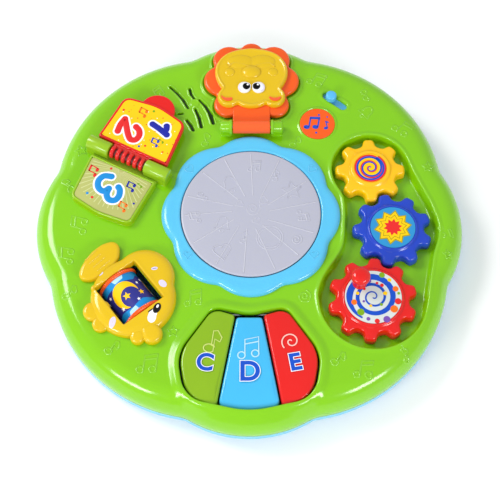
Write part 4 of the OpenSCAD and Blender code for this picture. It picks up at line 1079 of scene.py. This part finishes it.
def make_lion():
    mane_foot, mane_top = 52.0, 58.0
    face_top = 64.0
    pin_y, pin_z, barrel_r, barrel_l = 107.9, 59.5, 7.0, 41.0
    mane_outline = blob(MANE, (LION_X, 172), melt=4, gap=1.5)
    bm = bmesh.new()
    stack(bm, mane_outline, [(1.2, mane_foot), (0.2, mane_foot + 0.5), (0, mane_foot + 1.4), (0.1, mane_top - 2.6),
                             (0.6, mane_top - 1.3), (1.6, mane_top - 0.4), (3.0, mane_top), (5.0, mane_top + 0.1)])
    arm = box_outline(LION_X - 20.5, 107, LION_X + 20.5, 138, 0.8, 0.8, 4, 4)
    stack(bm, spaced(arm, 2.0), soft_edge(mane_foot + 0.6, mane_top + 1.1, 1.1))
    verts = lathe(bm, [(0, -barrel_l / 2), (barrel_r - 0.7, -barrel_l / 2), (barrel_r, -barrel_l / 2 + 0.7),
                       (barrel_r, barrel_l / 2 - 0.7), (barrel_r - 0.7, barrel_l / 2), (0, barrel_l / 2)], 48)
    carry(bm, verts, LION_X, pin_y, pin_z, tip=("Y", 90))
    finished("lion_mane_moulded", bm, "lion", [ORANGE], ["lion_mane"])

    shapes = [disc_shape(LION_X, 173, 36), disc_shape(LION_X, 158, 26)]
    for s in (-1, 1):
        shapes += [disc_shape(LION_X + s * 12, 178, 28.5), disc_shape(LION_X + s * 25, 146, 12.5)]
    face_outline = blob(shapes, (LION_X, 166), melt=3, gap=1.4)
    bm = bmesh.new()
    stack(bm, face_outline, [(0, mane_top), (0, face_top - 3.4), (0.35, face_top - 2.0), (1.0, face_top - 0.9),
                             (1.9, face_top - 0.2), (2.6, face_top), (3.3, face_top - 0.25), (4.0, face_top - 0.8),
                             (5.2, face_top - 1.0)])

    def bump(cx, cy, rx, ry, height, z=face_top - 1.1):
        verts = lathe(bm, [polar(1, a) for a in range(0, 90, 15)] + [(0.0, 1.0)], 40)
        carry(bm, verts, LION_X + cx, cy, z, size=(rx, ry, height))
    bump(0, 177, 10.8, 8.2, 3.4)
    for s in (-1, 1):
        bump(s * 24, 177, 5.6, 5.2, 1.3)
        bump(s * 12.0, 190.5, 15.0, 9.0, 1.4)
    half_smile = [(26, 184), (20, 188.5), (12, 187.5), (4, 184.6)]
    smile = [(-px, py) for px, py in half_smile] + [(0, 184)] + half_smile[::-1]
    add_strokes(bm, [([(LION_X + px, py, face_top - 0.6) for px, py in smile], False)], 0.9)
    for s in (-1, 1):
        ear_x, lean = LION_X + s * 26, 10 * s
        crescent = arc((ear_x, 146.4), 7.2, 195 + lean, 325 + lean, 10)
        crescent += [(ear_x + 6.6 * math.cos(a), 146.9 + 4.0 * math.sin(a))
                     for a in np.radians(np.linspace(320 + lean, 200 + lean, 9))]
        tile(bm, crescent, face_top - 1, face_top + 0.05, 1)
    finished("lion_face_moulded", bm, "lion", [YELLOW, ORANGE], ["lion_face"])

    eye_x, shade_x, pupil_x, eye_y = 7.9, 10.8, 5.6, 156.3
    bm = bmesh.new()
    for s in (-1, 1):
        verts = lathe(bm, [(0, 0), (7.0, 0), (7.0, 1.6), (6.6, 2.2), (5.0, 2.7), (2.6, 2.95), (0, 3.0)], 48)
        carry(bm, verts, LION_X + s * eye_x, eye_y, face_top - 1.4)
        shade = ellipse((LION_X + s * shade_x, eye_y - 0.6), 3.6, 4.8, 24)
        tile(bm, shade, face_top + 0.9, face_top + 1.15, 1)
        tile(bm, circle((LION_X + s * pupil_x, eye_y + 0.6), 4.9, 32), face_top + 0.9, face_top + 1.45, 0)
    finished("lion_eye_whites", bm, "lion", [WHITE, INKS["lilac"]], ["lion_eyes"])
    bm = bmesh.new()
    for s in (-1, 1):
        verts = lathe(bm, [(0, 0), (4.2, 0), (4.2, 0.5), (3.8, 0.8), (2.2, 1.0), (0, 1.05)], 36)
        carry(bm, verts, LION_X + s * pupil_x, eye_y + 0.6, face_top + 1.0)
        tile(bm, circle((LION_X + s * pupil_x + 1.5, eye_y + 2.4), 1.2, 16), face_top + 1.6, face_top + 2.15, 1)
    finished("lion_pupil_glints", bm, "lion", [BLACK, INKS["white"]], ["lion_pupils"])

    # The two lugs that carry the lion's hinge pin belong to the shell
    bm = bmesh.new()
    for s in (-1, 1):
        verts = lathe(bm, [(0, 0), (7.3, 0), (8.2, 0.5), (8.4, 1.6), (8.2, 2.7), (7.4, 3.2), (7.2, 3.6), (7.2, 11.2),
                           (6.4, 12.6), (4.6, 13.3), (0, 13.5)], 48)
        carry(bm, verts, LION_X + s * 21.1, pin_y, pin_z, tip=("Y", 90 * s))
        lug_x = LION_X + s * 27.6
        block = box_outline(lug_x - 6.0, pin_y - 5.2, lug_x + 6.0, pin_y + 7.2, 2)
        stack(bm, block, [(-1.2, DECK_Z - 0.5), (-0.3, DECK_Z + 0.6), (0, DECK_Z + 1.6), (0.1, pin_z)])
    finished("lion_hinge_lugs", bm, TABLE, [GREEN])


make_lion()


# ---- book

BOOK_AT, BOOK_TURN = (-130.5, 67.9), -26.4
PAGE = ([(-42.6, 9.4), (42, 9.4), (36, 64.7), (-1, 72.2), (-40, 66.2)], [1.5, 1.5, 10, 60, 10])
TRAY = ([(39, -11.2), (-40, -11.2), (-35.5, -66), (0, -71.6), (38, -67.6)], [1.5, 1.5, 8, 60, 8])
PAGE_FOOT, PAGE_TOP = 58.0, 64.0
BOOK_PIN_Z = 61.0
TRAY_TOP = 57.0


def on_book(points):
    return [turned(p, BOOK_TURN, BOOK_AT) for p in points]


def book_rod(bm, start, stop, radius, material=0, ends=0.9):
    """A round bar along the book's spine, its ends eased."""
    length = stop - start
    verts = lathe(bm, [(0, 0), (radius - ends, 0), (radius - 0.25 * ends, 0.3 * ends), (radius, ends),
                       (radius, length - ends), (radius - 0.25 * ends, length - 0.3 * ends), (radius - ends, length),
                       (0, length)], 56, material)
    carry(bm, verts, *on_book([(start, 0)])[0], BOOK_PIN_Z, turn=BOOK_TURN, tip=("Y", 90))


def make_book():
    bm = bmesh.new()
    tray = on_book(spaced(outline(*TRAY), 2.0))
    rise = [(-0.8, DECK_Z - 0.4), (-0.25, DECK_Z + 0.4), (0, DECK_Z + 1.2), (0, TRAY_TOP - 0.2),
            (0.25, TRAY_TOP + 0.7), (0.8, TRAY_TOP + 1.25), (1.5, TRAY_TOP + 1.4), (2.2, TRAY_TOP + 1.2),
            (2.6, TRAY_TOP + 0.7), (2.8, TRAY_TOP), (4.0, TRAY_TOP)]
    stack(bm, tray, rise)
    plinth = on_book(spaced(outline(*PAGE, -4), 2.0))
    stack(bm, plinth, soft_edge(DECK_Z - 0.4, PAGE_FOOT - 0.3, 0.8))
    for start, stop in ((-49, -22.4), (20.8, 49)):
        book_rod(bm, start, stop, 8.0, ends=1.6)
        base = box_outline(start + 0.8, -8, stop - 0.8, 8, 1)
        stack(bm, on_book(base), [(-0.6, DECK_Z - 0.4), (0, DECK_Z + 0.8), (0.1, BOOK_PIN_Z)])
    stack(bm, on_book(box_outline(-39, -13, 38, 17, 1)), [(0, DECK_Z - 0.4), (0, DECK_Z + 2.6)])
    finished("book_frame_moulded", bm, TABLE, [LIME], ["book_frame"])

    bm = bmesh.new()
    page = on_book(spaced(outline(*PAGE), 2.0))
    stack(bm, page, [(0.8, PAGE_FOOT), (0, PAGE_FOOT + 0.8), (0, PAGE_TOP - 1.3), (0.35, PAGE_TOP - 0.5),
                     (1.0, PAGE_TOP - 0.08), (1.7, PAGE_TOP), (2.4, PAGE_TOP - 0.15), (2.7, PAGE_TOP - 0.7),
                     (4.0, PAGE_TOP - 0.7)])
    tab = circle(on_book([(-0.5, 66.5)])[0], 19.6, 72)
    stack(bm, tab, soft_edge(PAGE_FOOT + 0.6, PAGE_TOP - 1.4, 1.3))
    # The core rod between the ribs takes the second material, a dark red painted shade
    book_rod(bm, -22, 20.4, 4.6, 1)
    for k in range(6):
        verts = lathe(bm, [(3.6, -2.1), (6.2, -2.0), (6.9, -1.5), (7.2, -0.7), (7.2, 0.7), (6.9, 1.5), (6.2, 2.0),
                           (3.6, 2.1), (3.6, -2.1)], 56)
        carry(bm, verts, *on_book([(-18.6 + 7.1 * k, 0)])[0], BOOK_PIN_Z, turn=BOOK_TURN, tip=("Y", 90))
    stack(bm, on_book(box_outline(-22, 0, 20.4, 12, 0.8)), [(0, PAGE_FOOT), (0, PAGE_TOP - 1.8)])
    finished("book_page_moulded", bm, "page", [RED, SPINE_PAINTED_SHADE], ["book_page"])

    # The picture side of the page: plain numbers, notes and dots
    foot = PAGE_TOP - 0.7
    top = PAGE_TOP - 0.15
    bm = bmesh.new()
    tile(bm, on_book(spaced(outline(*PAGE, -2.85), 3.0)), foot, top, 0)

    def number(lines, ink, level):
        """A plain number as fat round strokes, its colour over a wider white edge."""
        for radius, rise, material in ((5.4, 0.16, 1), (3.9, 0.34, ink)):
            for points in lines:
                path = on_book(smooth(points))
                add_strokes(bm, [([(px, py, level) for px, py in path], False)], radius, rise / radius, material, 3)
                for end in (path[0], path[-1]):
                    side = [(radius * math.cos(a), rise * math.sin(a)) for a in np.linspace(-1.2, 1.2, 7)]
                    carry(bm, lathe(bm, [(0, -rise), *side, (0, rise)], 32, material), *end, level)

    def marks(rows, level):
        for local, size, ink, turn, beamed in rows:
            spot = on_book([local])[0]
            if beamed is None:
                tile(bm, circle(spot, size / 2, 16), level, level + INK_T, ink)
            else:
                filled_note(bm, spot, size, turn, level, level + INK_T, ink, beamed)
    for k in range(60):
        spot = on_book([(-38 + 4.15 * (k * 7 % 18) + 1.5 * (k % 3), 14 + 3.05 * (k * 5 % 16))])[0]
        tile(bm, circle(spot, 0.45 + 0.12 * (k % 3), 8), top, top + 0.05,
             (5, 1, 3)[k % 3])
    number([[(-26, 23.5), (-27.2, 32), (-26.2, 40.5)],
            [(-26.2, 40.5), (-20, 32.5), (-14, 25), (-8.5, 20.6), (-3.4, 22.6), (-2.4, 29), (-5.5, 34.5), (-10.5, 37)]],
           3, top)
    number([[(4, 48), (14, 46), (24, 43)], [(20.5, 45), (20.5, 49), (19, 52.5)]], 2, top)
    marks([((-12.4, 56), 11, 5, 60, True), ((17, 28.5), 10, 4, 62, True), ((-2.5, 63), 3, 6, 0, None),
           ((3.8, 17), 2.6, 4, 0, None), ((9.5, 20.5), 2.4, 3, 0, None), ((22, 33), 8, 6, 60, False),
           ((-33, 50), 2.6, 3, 0, None), ((30, 22), 2.4, 5, 0, None)], top)
    finished("page_label_printed", bm, "page",
             inks("yellow", "white", "indigo", "red", "blue", "orange", "green"),
             ["page_label"], sharp=40)

    bm = bmesh.new()
    top = TRAY_TOP + 0.5
    tile(bm, on_book(spaced(outline(*TRAY, -2.95), 3.0)), TRAY_TOP, top, 0)
    for k in range(26):
        a = math.radians(6 + 6.7 * k)
        ray = [(-1 + reach * math.cos(a), -14 - reach * math.sin(a))
               for reach in (3, min(33 / max(abs(math.cos(a)), 0.01), 48))]
        ribbon(bm, on_book(ray), [0.25, 1.1], top, top + 0.04, 7)
    number([[(-7, -26), (-14.5, -29), (-17, -36.5), (-13.5, -43.5), (-6.5, -45.5), (-2.5, -40)],
            [(-2.5, -41.5), (-1, -47.5), (4, -51.5), (10, -49.5), (11.5, -43), (9, -36.5), (6, -34)]], 4, top)
    marks([((-28, -29), 12, 3, 60, True), ((-12, -17.5), 2.6, 3, 0, None), ((17.5, -28), 11, 2, 62, True),
           ((25, -22.5), 8, 6, 60, False), ((-20.5, -55), 3, 4, 0, None), ((-13.5, -57), 3, 3, 0, None),
           ((21, -53), 11, 5, 60, True), ((30, -44), 2.4, 2, 0, None)], top)
    finished("tray_label_printed", bm, TABLE,
             [LABEL_TAN, *inks("white", "indigo", "red", "sky", "orange", "green"), LABEL_PALE],
             ["tray_label"], sharp=40)


make_book()


# ---- fish and its roller

def make_fish():
    body = blob([disc_shape(-120, -91.4, 44.4), disc_shape(-109, -68.6, 31.5)], (-116, -84), melt=2, gap=1.6)
    top = high("fish_body")[2]
    rise = [(0, 0), (0.25, 3.2), (0.8, 5.0), (1.8, 6.6), (3.4, 8.0), (5.6, 9.1), (8.5, 9.8), (12.0, 10.0)]
    frame_hole = window(25.8, 25.3, 2.0)
    lip = [(0.0, -0.9), (0.25, -0.2), (0.8, 0.25), (1.8, 0.35), (3.2, 0.0)]
    start = DECK_Z - 0.3

    def fish_height(places):
        tall = (top - start - 0.35) / rise[-1][1]
        past_hole = outward(places, frame_hole)
        back = start + tall * follow(rise, -outward(places, body))
        return np.maximum(back, np.where(past_hole < 4, top - 1.6, 0)) + follow(lip, past_hole)

    loops = [body] + [inset(body, p[0]) for p in rise[1:]] \
        + [spaced(inset(frame_hole, -p[0]), 2.0) for p in lip]
    bm = relief(loops, 4.5, fish_height, [frame_hole])
    borders = [edge for edge in bm.edges if edge.is_boundary]
    hole_edges = [edge for edge in borders if all(vert.co.z > DECK_Z + 4 for vert in edge.verts)]
    skirt(bm, hole_edges, lambda co: (co.x, co.y, DECK_Z - 2.0))

    def limb(points, height, edge):
        stack(bm, points, soft_edge(start, start + height, edge, (18, 36, 54, 72, 90), (0.8, 0.1)))
    tail = eased(spaced([(-146, -28), (-155.5, -31.5), (-165.5, -40), (-172.5, -50.5), (-176, -58), (-177.6, -65),
                         (-177, -69.5), (-173.4, -72.6), (-166.8, -73.4), (-158.5, -71.5), (-148.5, -64), (-140, -55),
                         (-136.6, -47), (-136, -37.2), (-137, -32.4), (-141, -28.6)], 1.3), 4)
    limb(tail, 6.8, 3.4)
    for shapes, centre, height, edge in (
            ([(-150, -60, -138, -72, 9, 10)], (-144, -66), 6.4, 3.0),
            ([disc_shape(-160.8, -107.2, 10.4), disc_shape(-152, -104, 9)], (-157, -105.5), 6.6, 3.4),
            ([disc_shape(-152.4, -120.8, 8.8), disc_shape(-146, -117, 8)], (-149, -119), 5.8, 3.0),
            ([disc_shape(-114, -135.6, 7.6), disc_shape(-114, -127, 7)], (-114, -131), 8.2, 3.6),
            ([disc_shape(-99.2, -132, 10.8), disc_shape(-103, -126, 9)], (-101, -129.5), 9.2, 4.8)):
        limb(blob(shapes, centre, melt=3, gap=1.3), height, edge)
    for k in range(4):
        a = turned((-7.5, 6.0 * k - 9), 50, (-160, -51))
        b = turned((7.5, 6.2 * k - 9.3), 50, (-158, -51))
        add_strokes(bm, [([(a[0], a[1], start + 6.4), (b[0], b[1], start + 6.45)], False)], 0.7)
    finished("fish_body_moulded", bm, TABLE, [YELLOW], ["fish_body"], sharp=45, recalc=False)

    def level(px, py):
        return float(fish_height(np.array([[px, py]]))[0])

    bm = bmesh.new()

    def oval(centre, rx, ry, turn, material, lift=0.12):
        """A printed oval laid on the fish's curved back."""
        points = [turned(place, turn, centre) for place in ellipse((0, 0), rx, ry, 28)]
        verts = stack(bm, points, [(0, 0)] + [(min(rx, ry) * step, 1) for step in (0, 0.3, 0.6, 0.85)], material)
        for vert in verts:
            vert.co.z = level(vert.co.x, vert.co.y) + (lift if vert.co.z > 0.5 else -0.5)
    oval((-99.5, -116.0), 4.4, 6.0, -10, 1, 0.10)
    oval((-98.6, -112.2), 4.2, 5.0, -20, 1, 0.12)
    oval((-94.6, -106.0), 3.7, 5.9, -24, 2, 0.26)
    oval((-94.0, -104.0), 1.2, 2.0, -24, 1, 0.36)
    oval((-101.2, -108.6), 0.7, 3.2, -50, 2, 0.2)
    for centre, rx, ry, turn in (((-155.2, -65.5), 3.4, 3.0, 20), ((-98.5, -61.5), 3.4, 1.8, 10),
                                 ((-89.5, -78.5), 3.4, 4.8, 48), ((-139.6, -121.5), 3.2, 6.0, -14)):
        oval(centre, rx, ry, turn, 0)
    finished("fish_spots_and_eye", bm, TABLE, inks("lilac", "white", "black"), sharp=45)


make_fish()


def make_roller():
    """Roller drum with a printed night sky, between two ribbed orange flanges."""
    radius, half, centre_z = 21.3, 25.0, 38.0

    def roll_up(verts):
        """Flat (along, round, up) places become places on the drum."""
        for vert in verts:
            angle = vert.co.y / radius
            reach = radius + vert.co.z
            vert.co = (vert.co.x, reach * math.sin(angle), reach * math.cos(angle))

    bm = bmesh.new()
    verts = lathe(bm, [(0, -half + 4), (radius, -half + 4), (radius, half - 4), (0, half - 4)], 96, 0)
    carry(bm, verts, tip=("Y", 90))

    def sticker(points, material, lift=0.12, gap=1.0):
        """A printed shape, cut across every 1.5 mm so that it bends round the drum."""
        flat = bmesh.new()
        stack(flat, spaced(points, gap), [(0, -0.3), (0, lift)], material)
        bmesh.ops.triangulate(flat, faces=flat.faces[:])
        for cut in np.arange(min(p[1] for p in points) + 0.7, max(p[1] for p in points), 1.5):
            bmesh.ops.bisect_plane(flat, geom=[*flat.verts, *flat.edges, *flat.faces], dist=1e-4,
                                   plane_co=(0, cut, 0), plane_no=(0, 1, 0))
        roll_up(flat.verts)
        mesh = bpy.data.meshes.new("sticker")
        flat.to_mesh(mesh)
        flat.free()
        take_in(bm, mesh)
    band = [(-20.9, -33), (-13, -30), (-14, -12), (-8, -16), (-10, -3), (-14, 2), (-11, 14), (-15, 20), (-12, 33),
            (-20.9, 33)]
    sticker(band, 1, 0.06)
    sticker([(20.9, -33), (20.9, 33), (14, 33), (16, 18), (13, 8), (16, -6), (13, -20), (15, -33)], 1, 0.06)
    sticker([(-20.8, -8), (-16, -6), (-17, 4), (-20.8, 6)], 5, 0.1)
    sticker([(20.8, -14), (20.8, -2), (16, -3), (17, -12)], 5, 0.1)
    for repeat in range(3):
        shift = 44.6 * repeat - 4
        moon = [polar(15, a) for a in range(46, 315, 9)] + [polar(11.5, a, (6.5, 0)) for a in range(286, 73, -9)]
        sticker([turned(place, 35, (0, shift)) for place in moon], 2, 0.14)
        for sx, sy, size in ((6, 16, 3.4), (12, 8, 2.0), (-6, 19, 2.0), (10, -12, 2.6), (2, 0, 4.6), (-9, -17, 2.2)):
            star = [polar(size if k % 2 == 0 else size * 0.45, 90 + 36 * k, (sx, sy + shift)) for k in range(10)]
            sticker(star, 3 if size < 3 else 2, 0.16, 0.45)
    carry(bm, list(bm.verts), ROLLER_AT[0], ROLLER_AT[1], centre_z, turn=ROLLER_TURN)
    finished("roller_drum_printed", bm, "roller",
             inks("night", "sky", "yellow", "white", "cyan", "pale_sky"), ["roller_drum"],
             sharp=45)

    bm = bmesh.new()
    for s in (-1, 1):
        ribs = [polar(23.0 + (0.45 if k % 2 else -0.25), 360 * k / 120) for k in range(120)]
        verts = stack(bm, ribs, [(0.9, -2.0), (0.2, -1.4), (0, -1.0), (0, 1.0), (0.2, 1.4), (0.9, 2.0)])
        carry(bm, verts, x=s * (half - 2), tip=("Y", 90))
    carry(bm, list(bm.verts), ROLLER_AT[0], ROLLER_AT[1], centre_z, turn=ROLLER_TURN)
    finished("roller_flanges_ribbed", bm, "roller", [ORANGE], ["roller_flanges"], sharp=50)


make_roller()


# ---- badge and switch

def make_badge():
    bm = bmesh.new()
    top = high("badge_disc")[2]
    stack(bm, circle(BADGE_AT, BADGE_R, 80), soft_edge(top - 2.2, top, 0.5))
    filled_note(bm, (BADGE_AT[0] - 6.5, BADGE_AT[1] + 1), 17, -10, top, top + 0.14, 1, True)
    filled_note(bm, (BADGE_AT[0] + 9.0, BADGE_AT[1] - 1.5), 12, 12, top, top + 0.14, 1, False)
    for px, py, size in ((2.0, 11, 1.2), (-1.5, -11.5, 1.2), (11, 8.5, 0.9), (-13.5, -5, 0.9)):
        tile(bm, circle((BADGE_AT[0] + px, BADGE_AT[1] + py), size, 16), top, top + 0.14, 1)
    finished("badge_with_notes", bm, TABLE, [ORANGE, INKS["blue"]], ["badge_disc"])


make_badge()


def make_switch():
    rest = -5.5
    bm = bmesh.new()
    stack(bm, box_outline(-25, -8.6, 25, 8.6, 1), [(0, 44.5), (0, 46.9)])
    lathe(bm, [(0, 45.6), (3.9, 45.6), (3.9, 50.6), (5.4, 50.5), (6.0, 51.1), (6.0, 55.4), (5.7, 56.8), (4.9, 57.6),
               (3.4, 57.95), (0, 58.0)], 48)
    carry(bm, list(bm.verts), x=rest)
    carry(bm, list(bm.verts), SWITCH_AT[0], SWITCH_AT[1], turn=SWITCH_TURN)
    finished("switch_slider_knob", bm, "slider", [SLIDER_BLUE], ["switch_slider"])


make_switch()


# ---- CAD nodes that keep their shape

CAD_FINISH = {
    "base_shell": BASE_BLUE, "battery_door": BASE_BLUE, "pad_retainer": WHITE, "battery_box": WHITE,
    "main_board": BOARD, "drum_board": BOARD, "board_parts": BLACK, "key_dome_lime": RUBBER,
    "key_dome_blue": RUBBER, "key_dome_red": RUBBER, "drum_dome": RUBBER, "speaker_cone": PAPER_CONE,
    "speaker_magnet": FERRITE, "battery_cells": CELL, "wires": WIRE,
}
for name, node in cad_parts.items():
    if node.hide_render:
        continue
    finish = CAD_FINISH.get(name, STEEL)
    for place in node.material_slots:
        place.material = finish
    if not node.material_slots:
        node.data.materials.append(finish)


# ---- studio

def make_studio():
    plane = bmesh.new()
    bmesh.ops.create_grid(plane, x_segments=2, y_segments=2, size=6.0)
    mesh = bpy.data.meshes.new("studio_floor")
    plane.to_mesh(mesh)
    plane.free()
    floor = bpy.data.objects.new("studio_floor", mesh)
    bpy.context.scene.collection.objects.link(floor)
    paper = bpy.data.materials.new("studio_paper")
    paper.use_nodes = True
    shader = paper.node_tree.nodes["Principled BSDF"]
    set_inputs(shader, {"Base Color": (0.97, 0.97, 0.975, 1), "Roughness": 0.85, "Specular IOR Level": 0.1})
    mesh.materials.append(paper)
    floor.location.z = -0.0006

    world = bpy.context.scene.world or bpy.data.worlds.new("studio")
    bpy.context.scene.world = world
    world.use_nodes = True
    set_inputs(world.node_tree.nodes["Background"], {"Color": (0.97, 0.985, 1.0, 1), "Strength": 0.62})

    def softbox(name, place, aim, size, power):
        light = bpy.data.lights.new(name, "AREA")
        light.shape = "RECTANGLE"
        light.size, light.size_y = size
        light.energy = power
        holder = bpy.data.objects.new(name, light)
        bpy.context.scene.collection.objects.link(holder)
        holder.location = place
        holder.rotation_euler = (Vector(aim) - Vector(place)).to_track_quat("-Z", "Y").to_euler()
    softbox("key_softbox", (-1.5, 0.8, 1.7), (0, 0, 0), (0.9, 0.9), 30)
    softbox("left_strip", (-1.15, -1.25, 0.85), (0, 0, 0.03), (0.62, 0.36), 13)
    softbox("right_strip", (1.15, -1.25, 0.85), (0, 0, 0.03), (0.62, 0.36), 13)

    camera = bpy.data.cameras.new("photo_camera")
    camera.lens = 93.24
    camera.sensor_width = 36
    camera.clip_start, camera.clip_end = 0.05, 20
    eye = bpy.data.objects.new("photo_camera", camera)
    bpy.context.scene.collection.objects.link(eye)
    aim = Vector((0.0007, -0.0210, 0.0180))
    rise, away = math.radians(65), 1.4
    eye.location = aim + away * Vector((0, -math.cos(rise), math.sin(rise)))
    eye.rotation_euler = (aim - eye.location).to_track_quat("-Z", "Y").to_euler()
    bpy.context.scene.camera = eye
    bpy.context.scene.view_settings.view_transform = "Standard"


make_studio()
